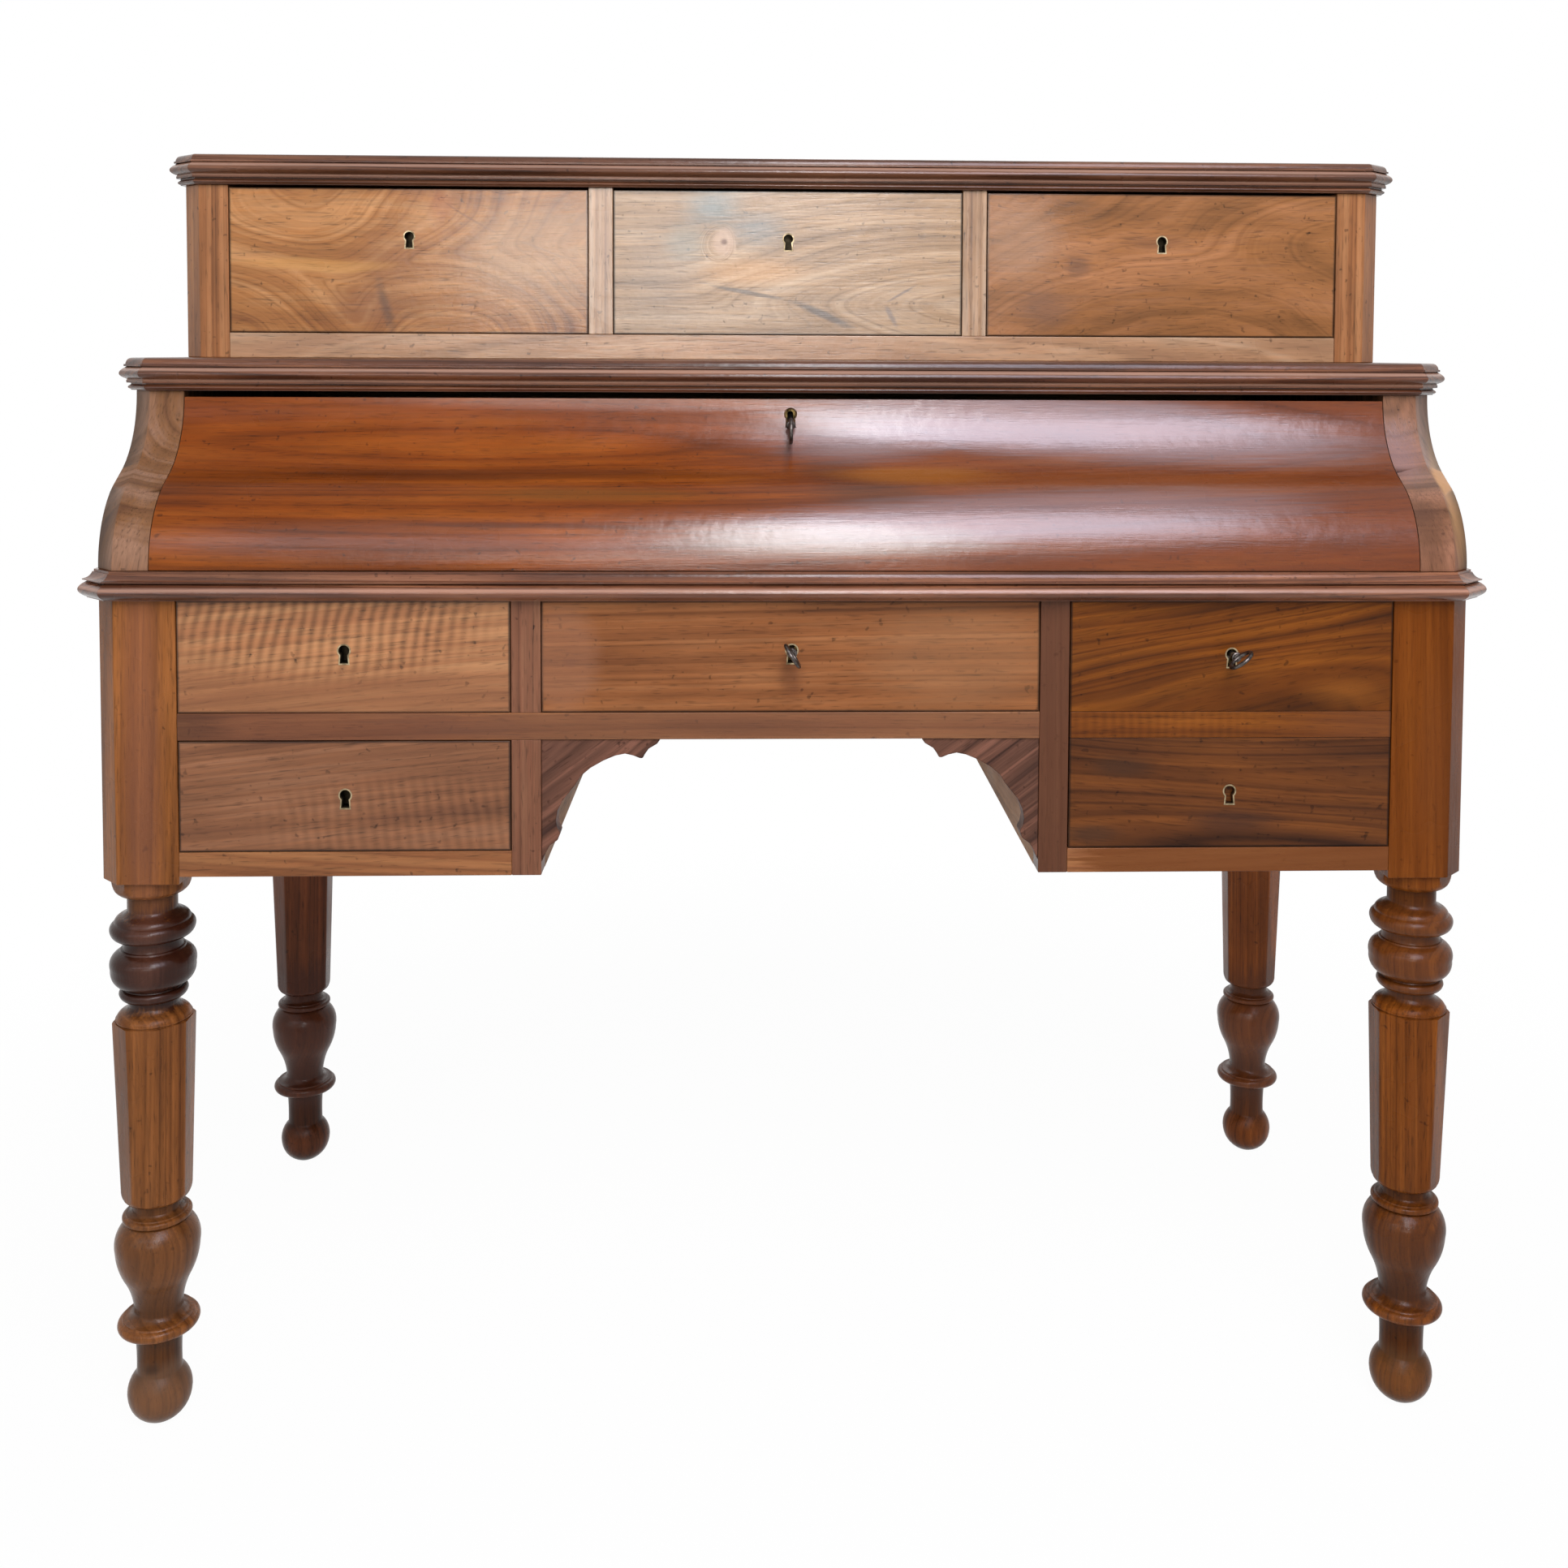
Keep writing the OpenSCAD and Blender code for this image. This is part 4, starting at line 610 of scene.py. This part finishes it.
# Waist and cornice boards, and the upper case between them: posts chamfered like those below, two
# stiles and a rail of solid walnut. The stiles and the rail shine where the shellac is whole.
for node, shades, grain in (
        ("waist_board", ("#7A4A2C", "#5F371F", "#402414"), dict(
            hearts=[(-100, 60, 900, 5)], band=18, wander=45, figure=0.8)),
        ("cornice_board", ("#7A4A2C", "#5F371F", "#402414"), dict(
            hearts=[(60, 100, 1090, 5)], band=18, wander=45, figure=0.8)),
        ("gradin_posts", ("#A7754B", "#905E38", "#684226"), dict(
            rise=90, hearts=[(0, 40, 1000, 12)], band=8)),
        ("gradin_sides", ("#966038", "#7A4826", "#553018"), dict(
            turn=90, hearts=[(0, 0, 1000, 6)], band=16, wander=40, figure=0.8)),
        ("gradin_stiles", ("#BBA084", "#A58261", "#7E6049"), dict(
            rise=90, hearts=[(0, 40, 1000, 12)], band=8, shift=2, gloss=0.28, shine=0.3,
            polish=[((-190, -22, 1060), (500, 90, 300), 1)])),
        ("gradin_rail", ("#C1A180", "#AB835F", "#845F44"), dict(
            hearts=[(0, 60, 960, 12)], band=8, wander=10, shift=7, gloss=0.28, shine=0.3,
            polish=[((-150, -22, 980), (560, 90, 300), 0.9)]))):
    stuff = wood("polished walnut, " + node.replace("_", " "), *shades, **grain)
    piece(node, copied(node, 0 if "board" in node else 0.8), "case", stuff, [node])

# Cylinder: a rigid ogee panel, coopered and veneered with walnut whose grain runs along the desk, on
# two arms behind its ends. Steel pins in the arms turn in the cheeks' plates.
bm = copied("cylinder_panel", 0)
for x in (-0.034, 0.034):
    # Cut beside the lock, so that the long faces don't run round the keyhole
    bmesh.ops.bisect_plane(bm, geom=bm.verts[:] + bm.edges[:] + bm.faces[:], plane_co=(x, 0, 0),
                           plane_no=(1, 0, 0))
panel_marks = [  # dark growth lines and stains, warm patches, then painted reflections of the daylight, blue-grey
    ((-250, -212, 862), (300, 70, 7), 0.55, "#46220F", 0.3),
    ((38, -240, 868), (62, 90, 17), 0.8, "#2A1E16"),
    ((80, -240, 850), (75, 90, 22), 0.5, "#3A3024"),
    ((-3, -200, 890), (7, 90, 34), 0.55, "#3A1E10"),
    ((-40, -225, 880), (58, 90, 4), 0.6, "#4A2814", 0.2, -5),
    ((120, -215, 863), (110, 90, 9), 0.8, "#A0621C", 0.3),
    ((330, -212, 861), (240, 90, 9), 0.5, "#8E5020", 0.3),
    ((-180, -240, 845), (150, 60, 9), 0.5, "#6E4416", 0.3),
    ((-230, -258, 817), (160, 60, 4), 0.55, "#3E1C0C", 0.3),
    ((330, -180, 800), (7, 90, 26), 0.6, "#2E1A10"),
    ((360, -200, 860), (480, 200, 200), 0.4, "#582C1C", 0.6),
    # Painted reflections: pale blue-grey patches where the window panes gleam on the polish
    ((270, -180, 904), (330, 400, 32), 0.5, "#8E8288", 0.5, -3),
    ((200, -245, 828), (330, 400, 28), 0.35, "#8E8288", 0.5, 3),
    ((60, -200, 896), (125, 90, 30), 0.55, "#968C8E", 0.1),
    ((40, -245, 806), (190, 400, 22), 0.45, "#A09A90", 0.4)]
panel_polish = [
    ((285, -180, 903), (370, 400, 46), 1, 0.6, -3), ((190, -245, 820), (420, 400, 48), 0.9, 0.5, 4),
    ((-330, -250, 806), (320, 400, 24), 0.6, 0.5), ((320, -200, 860), (460, 200, 200), 0.45, 0.6),
    ((0, -250, 800), (330, 60, 46), 1, 0.4), ((-100, -150, 931), (420, 60, 16), 0.8, 0.5)]
stuff = wood("veneered walnut, cylinder", "#8B4914", "#753708", "#4F2204", [(-330, -120, 870, 11)],
             band=15, wander=34, shift=2.4, figure=0.55, smoke=0.3, smoke_hex="#3A2010", gloss=0.3,
             shine=0.15, marks=panel_marks, polish=panel_polish)
piece("cylinder_panel", bm, "cylinder", stuff, ["cylinder_panel"], crease=30)
nodes["cylinder_arms"].material_slots[0].material = wood(
    "planed beech, cylinder arms", "#A9825A", "#8E6844", "#6C4C30", [(0, -100, 800, 9)], rise=60,
    band=10, gloss=0.55)

# Drawer fronts: pine faced with thick walnut veneer, each from another sheet, so that every front has
# its own figure. The boxes behind are plain planed poplar.
fronts = {
    "gradin_left": dict(
        pale="#BA8857", tan="#9E6A3A", dark="#6F4325",
        hearts=[(-475, -26, 1146, 1.8), (-572, -26, 986, 1.5), (-359, -26, 960, 1.2)],
        band=15, wander=46, shift=1.3, figure=0.7, lines=0.13, smoke=0.1, gloss=0.28, shine=0.25,
        polish=[((-230, -22, 1080), (230, 90, 200), 1, 0.3)],
        marks=[((-400, -22, 1050), (64, 60, 74), 0.42, "#744830", 0),
               ((-405, -22, 1022), (9, 60, 40), 0.65, "#4A4038", 0, 6),
               ((-345, -22, 1122), (16, 60, 22), 0.4, "#8A4224"),
               ((-315, -22, 1109), (41, 60, 1.6), 0.5, "#6E4A34", 0.4, -33),
               ((-243, -22, 1073), (42, 60, 1.6), 0.5, "#7A5A44", 0.4, -21),
               ((-228, -22, 1038), (25, 60, 1.8), 0.5, "#7A5A44", 0.4, -50),
               ((-430, -22, 1020), (50, 60, 30), 0.35, "#7A5240"),
               ((-470, -22, 1062), (110, 60, 9), 0.4, "#C89450", 0.4),
               # Painted sheen: a pale greyish patch where the light in front gleams on the polish
               ((-250, -22, 1070), (110, 60, 90), 0.45, "#B59A7C", 0.3)]),
    "gradin_mid": dict(
        pale="#BEA383", tan="#A58663", dark="#7E6449",
        hearts=[(20, -40, 920, 8), (-60, -24, 1086, 1.1, 9), (250, -26, 1020, 4, 1.6)],
        band=17, wander=40, shift=6.2, figure=0.7, smoke=0.2, smoke_hex="#6A625A", gloss=0.3,
        shine=0.25, polish=[((-60, -22, 1070), (420, 90, 300), 0.9)],
        marks=[((-75, -22, 1122), (44, 60, 32), 0.6, "#6F8A8E", 0),
               ((-28, -22, 1098), (50, 60, 26), 0.5, "#74868A", 0),
               ((-100, -22, 1085), (30, 60, 26), 0.4, "#80908A"),
               ((-125, -22, 1060), (70, 60, 80), 0.35, "#8C857C", 0),
               ((-60, -22, 1086), (15, 60, 16), 0.7, "#C0A288", 0.5),
               ((-60, -22, 1086), (5, 60, 4), 0.8, "#5A3424"),
               ((-30, -22, 1058), (70, 60, 18), 0.5, "#C6935A", 0.3),
               ((-35, -22, 1037), (52, 60, 3), 0.75, "#5E564E", 0.4, -11),
               ((41, -22, 1013), (44, 60, 6), 0.8, "#55504C", 0.3, -25),
               ((121, -22, 1034), (22, 60, 2), 0.6, "#6A6260", 0.3, 32),
               ((110, -22, 1011), (16, 60, 4), 0.6, "#6A6260", 0.3, -65)]),
    "gradin_right": dict(
        pale="#A8744B", tan="#8F5F35", dark="#654221",
        hearts=[(398, -22, 742, 1, 1, 270), (590, -26, 1078, 2.6)], band=16, wander=24, shift=9.1,
        figure=0.5, lines=0.1, gloss=0.3, polish=[((190, -22, 1100), (150, 90, 160), 0.6)],
        marks=[((296, -22, 1064), (18, 60, 15), 0.6, "#5E4436"),
               ((262, -22, 1020), (40, 60, 26), 0.45, "#664A3C"),
               ((370, -22, 1088), (46, 60, 9), 0.4, "#5E4030"),
               ((230, -22, 1090), (60, 60, 60), 0.35, "#A88A70", 0.3)]),
    "upper_left": dict(
        pale="#AB7B51", tan="#91613D", dark="#6D4329", hearts=[(-420, -200, 610, 8)], rise=5, band=12,
        wander=16, shift=2.2, figure=0.5, smoke=0.1, shine=0.3, gloss=0.3,
        curl=(0.55, 10, 9, (-410, -260, 742), (180, 60, 72)),
        marks=[((-392, -260, 666), (190, 60, 38), 0.5, "#805232", 0.4)]),
    "lower_left": dict(
        pale="#8B6043", tan="#794F33", dark="#5A3824", hearts=[(-500, -200, 520, 12)], rise=6,
        wander=12, shift=3.7, figure=0.5, shine=0.25,
        curl=(0.22, 10, -6, (-330, -260, 560), (170, 60, 50))),
    "centre": dict(
        pale="#925F38", tan="#7E4D29", dark="#5D351A", hearts=[(0, -120, 610, 14)], rise=1, band=8,
        wander=12, shift=5.5, figure=0.7, smoke=0.12, shine=0.15,
        marks=[((-193, -260, 702), (9, 60, 6), 0.6, "#5A3420"),
               ((-200, -260, 705), (40, 60, 60), 0.4, "#8E644C", 0.5),
               # Painted sheen: a paler patch on the right end, where light gleams on the polish
               ((150, -260, 705), (110, 60, 60), 0.3, "#98704E", 0.4),
               ((0, -260, 690), (16, 60, 30), 0.45, "#5E3620")]),
    "deep": dict(
        pale="#784312", tan="#5E310C", dark="#2E1606",
        hearts=[(330, -225, 640, 4.5), (500, -200, 560, 12)], rise=12, band=10, wander=70, shift=8.3,
        figure=0.9, smoke=0.5, smoke_hex="#33200F", shine=0.12,
        marks=[((488, -260, 675), (54, 60, 19), 0.45, "#985A20", 0)])}
false_rail = dict(
    pale="#7B4513", tan="#6B390D", dark="#4E2506", hearts=[(300, -200, 600, 9)], shine=0.15,
    curl=(0.16, 8, 3, (330, -260, 644), (110, 60, 60)),
    marks=[((540, -260, 644), (130, 60, 60), 0.4, "#643A22", 0.3)])
lower_sheet = dict(
    pale="#6C3E1A", tan="#563015", dark="#30190B",
    hearts=[(300, -235, 700, 6), (460, -200, 520, 9)], rise=-5, wander=30, shift=4.6, figure=1.0,
    smoke=0.5, smoke_hex="#332016", shine=0.12,
    # Painted shade: the floor of the false keyhole's pocket is painted nearly black
    marks=[((391.75, -252, 584), (6, 5, 9), 0.95, "#100C0A", 0.7),
           ((400, -260, 560), (60, 60, 16), 0.6, "#33211A", 0.2),
           ((300, -260, 606), (40, 60, 14), 0.5, "#3A281C"),
           ((270, -260, 545), (40, 60, 14), 0.6, "#3A281C")])
for drawer, look in fronts.items():
    plain_name = drawer.replace("_", " ")
    border = [Vector(corner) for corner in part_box(drawer + "_front")]
    stuff = wood("walnut veneer, " + plain_name + " drawer", edge=border, **look)
    bm = copied(drawer + "_front", 0)
    if drawer == "deep":
        # The right front is made to look like two drawers with a rail between, in three sheets of
        # veneer, each from its lower to its upper edge in mm
        sheets = ((656, 800), (632.3, 655.7), (500, 632))
        whole = bpy.data.meshes.new("whole")
        bm.to_mesh(whole)
        bm.clear()
        for sheet, (low, high) in enumerate(sheets):
            part = bmesh.new()
            part.from_mesh(whole)
            sawn(part, (0, 0, low / 1000), (0, 0, 1), True)
            sawn(part, (0, 0, high / 1000), (0, 0, 1), False)
            bmesh.ops.recalc_face_normals(part, faces=part.faces)
            bmesh.ops.dissolve_limit(part, angle_limit=radians(1), verts=part.verts, edges=part.edges)
            eased(part, 0.5)
            for face in part.faces:
                face.material_index = sheet
            joined(bm, part)
        bpy.data.meshes.remove(whole)
    else:
        eased(bm)
    front = piece(drawer + "_front", bm, drawer + "_drawer", stuff, [drawer + "_front"])
    if drawer == "deep":
        front.data.materials.append(wood("walnut veneer, false rail", edge=border, **false_rail))
        front.data.materials.append(wood("walnut veneer, lower sheet", edge=border, **lower_sheet))
    nodes[drawer + "_box"].material_slots[0].material = wood(
        "planed poplar, " + plain_name + " drawer box", "#B9986F", "#9F7C55", "#7A5C3C",
        [(30, 0, 500, 9)], turn=90, band=14, wander=20, shift=len(drawer), smoke=0.3,
        smoke_hex="#5E4A38", gloss=0.6)


# Locks, plates and keyhole liners: rolled and filed brass, dull from age, and screws and pivots of
# blackened steel. A keyhole is painted nearly black inside, for dust and old oil and for the shade deep
# in the hole.
def metal(name, bright, dull, roughness, bloom_mm, face=None):
    """Metal with a bloom of so many mm. Behind a face that shows, at y = face in mm, it is painted
    black, for dirt and for the shade inside a hole.
    """
    stuff, tree = material(name)
    place = add(tree, "TexCoord").outputs["Object"]
    bloom = add(tree, "TexNoise", {"Vector": place, "Scale": 1000 / bloom_mm, "Detail": 5.0,
                                   "Roughness": 0.65}).outputs["Fac"]
    ramp = add(tree, "ValToRGB", {"Fac": bloom})
    ramp.color_ramp.elements[0].position = 0.38
    ramp.color_ramp.elements[0].color = linear(bright)
    ramp.color_ramp.elements[1].position = 0.66
    ramp.color_ramp.elements[1].color = linear(dull)
    rough = add(tree, "MapRange", {"Value": bloom, "From Min": 0.3, "From Max": 0.7,
                                   "To Min": roughness - 0.08, "To Max": roughness + 0.15}).outputs[0]
    relief = add(tree, "Bump", {"Height": bloom, "Strength": 0.3, "Distance": 0.0002}).outputs[0]
    colour = ramp.outputs["Color"]
    if face is not None:
        # Painted shade and dirt: nearly black more than 1.5 mm behind the face
        depth = add(tree, "SeparateXYZ", {0: place}).outputs["Y"]
        dirt_and_shade = add(tree, "MapRange", {
            "Value": depth, "From Min": (face + 1.5) / 1000, "From Max": (face + 5) / 1000,
            "To Min": 0.0, "To Max": 0.93}).outputs[0]
        colour = add(tree, "Mix", {0: dirt_and_shade, 6: colour, 7: linear("#0C0A08")},
                     data_type="RGBA").outputs[2]
    finish = add(tree, "BsdfPrincipled", {"Base Color": colour, "Metallic": 1.0, "Roughness": rough,
                                          "Normal": relief})
    add(tree, "OutputMaterial", {"Surface": finish.outputs[0]})
    return stuff


brass = metal("aged brass", "#B79B62", "#5E4A2A", 0.38, 6)
for node in ("cylinder_bolt", "centre_bolt", "deep_bolt", "pivot_plates"):
    nodes[node].material_slots[0].material = brass
nodes["cylinder_lock"].material_slots[0].material = metal(
    "blackened brass, keyhole of the cylinder", "#5A4630", "#1E1610", 0.5, 4, face=-166)
for face, storey in ((-22, "gradin"), (-260, "case")):
    liner = metal("aged brass, keyholes of the " + storey, "#B7A584", "#6E6048", 0.42, 6, face)
    for drawer in fronts:
        if ("gradin" in drawer) == (storey == "gradin"):
            nodes[drawer + "_lock"].material_slots[0].material = liner
steel = metal("blackened steel", "#6A6460", "#2C2826", 0.36, 4)
for node in ("pivot_screws", "cylinder_pivots"):
    nodes[node].material_slots[0].material = steel


# Keys: forged steel, 25 mm bows worn smooth, a collar by the bow and a bit at the end. One hangs
# in the cylinder's lock, the others stand in the centre and the deep drawer.
def key(name, tip, end, turn, bit, bit_long, droop=0, at=(0, 0, 0)):
    """A key along Y from its bow's tip to its end, in mm. It is turned about its shank, with the bit
    hanging straight down, and droops at the place at."""
    rod_thick, rod_wide, rod_middle = 0.0034, 0.004, 0.0105
    bow_wide, bow_long, shank_start = 25, 24, tip + 22
    bm = bmesh.new()
    rim = bmesh.ops.create_circle(bm, segments=12, radius=0.5)["verts"]
    bmesh.ops.scale(bm, vec=(rod_thick, rod_wide, 1), verts=rim)
    bmesh.ops.translate(bm, vec=(0, rod_middle, 0), verts=rim)
    bmesh.ops.spin(bm, geom=rim + bm.edges[:], cent=(0, 0, 0), axis=(1, 0, 0), angle=2 * pi, steps=40,
                   use_merge=True)
    bmesh.ops.scale(bm, vec=(1, bow_long / bow_wide, 1), verts=bm.verts)
    bmesh.ops.translate(bm, vec=(0, tip / 1000 + bow_long / 2000, 0), verts=bm.verts)
    length = end - shank_start
    shank = bmesh.new()
    spun(shank, [(0, 0), (2.4, 0, 0), (2.8, 0.4, 0), (2.8, 2.6, 0), (4.3, 3.2, 0.2), (4.3, 6, 0.2),
                 (2.8, 6.6, 0), (2.8, length - 0.4, 0), (2.4, length, 0), (0, length, 0)], 24)
    bmesh.ops.rotate(shank, cent=(0, 0, 0), matrix=Matrix.Rotation(radians(-90), 3, "X"),
                     verts=shank.verts)
    bmesh.ops.translate(shank, vec=(0, shank_start / 1000, 0), verts=shank.verts)
    joined(bm, shank)
    bmesh.ops.rotate(bm, cent=(0, 0, 0), matrix=Matrix.Rotation(radians(turn), 3, "Y"), verts=bm.verts)
    blade_thick = 0.0022
    blade = bmesh.ops.create_cube(bm, size=1)["verts"]
    bmesh.ops.scale(bm, vec=(blade_thick, bit_long / 1000, bit / 1000), verts=blade)
    bmesh.ops.translate(bm, vec=(0, (end - bit_long / 2) / 1000, -bit / 2000), verts=blade)
    bmesh.ops.rotate(bm, cent=(0, 0, 0), matrix=Matrix.Rotation(radians(droop), 3, "X"), verts=bm.verts)
    bmesh.ops.translate(bm, vec=Vector(at) / 1000, verts=bm.verts)
    bmesh.ops.recalc_face_normals(bm, faces=bm.faces)
    piece(name, bm, name, steel, [name], crease=40)


key("centre_key", -300, -245.7, -33, 8, 3, at=(0, 0, 711.2))
key("deep_key", -300, -245.7, 52, 8, 3, at=(391.75, 0, 707.2))
key("cylinder_key", -54.85, 0, 0, 4.8, 1, 20, at=(0, -150.55, 916))
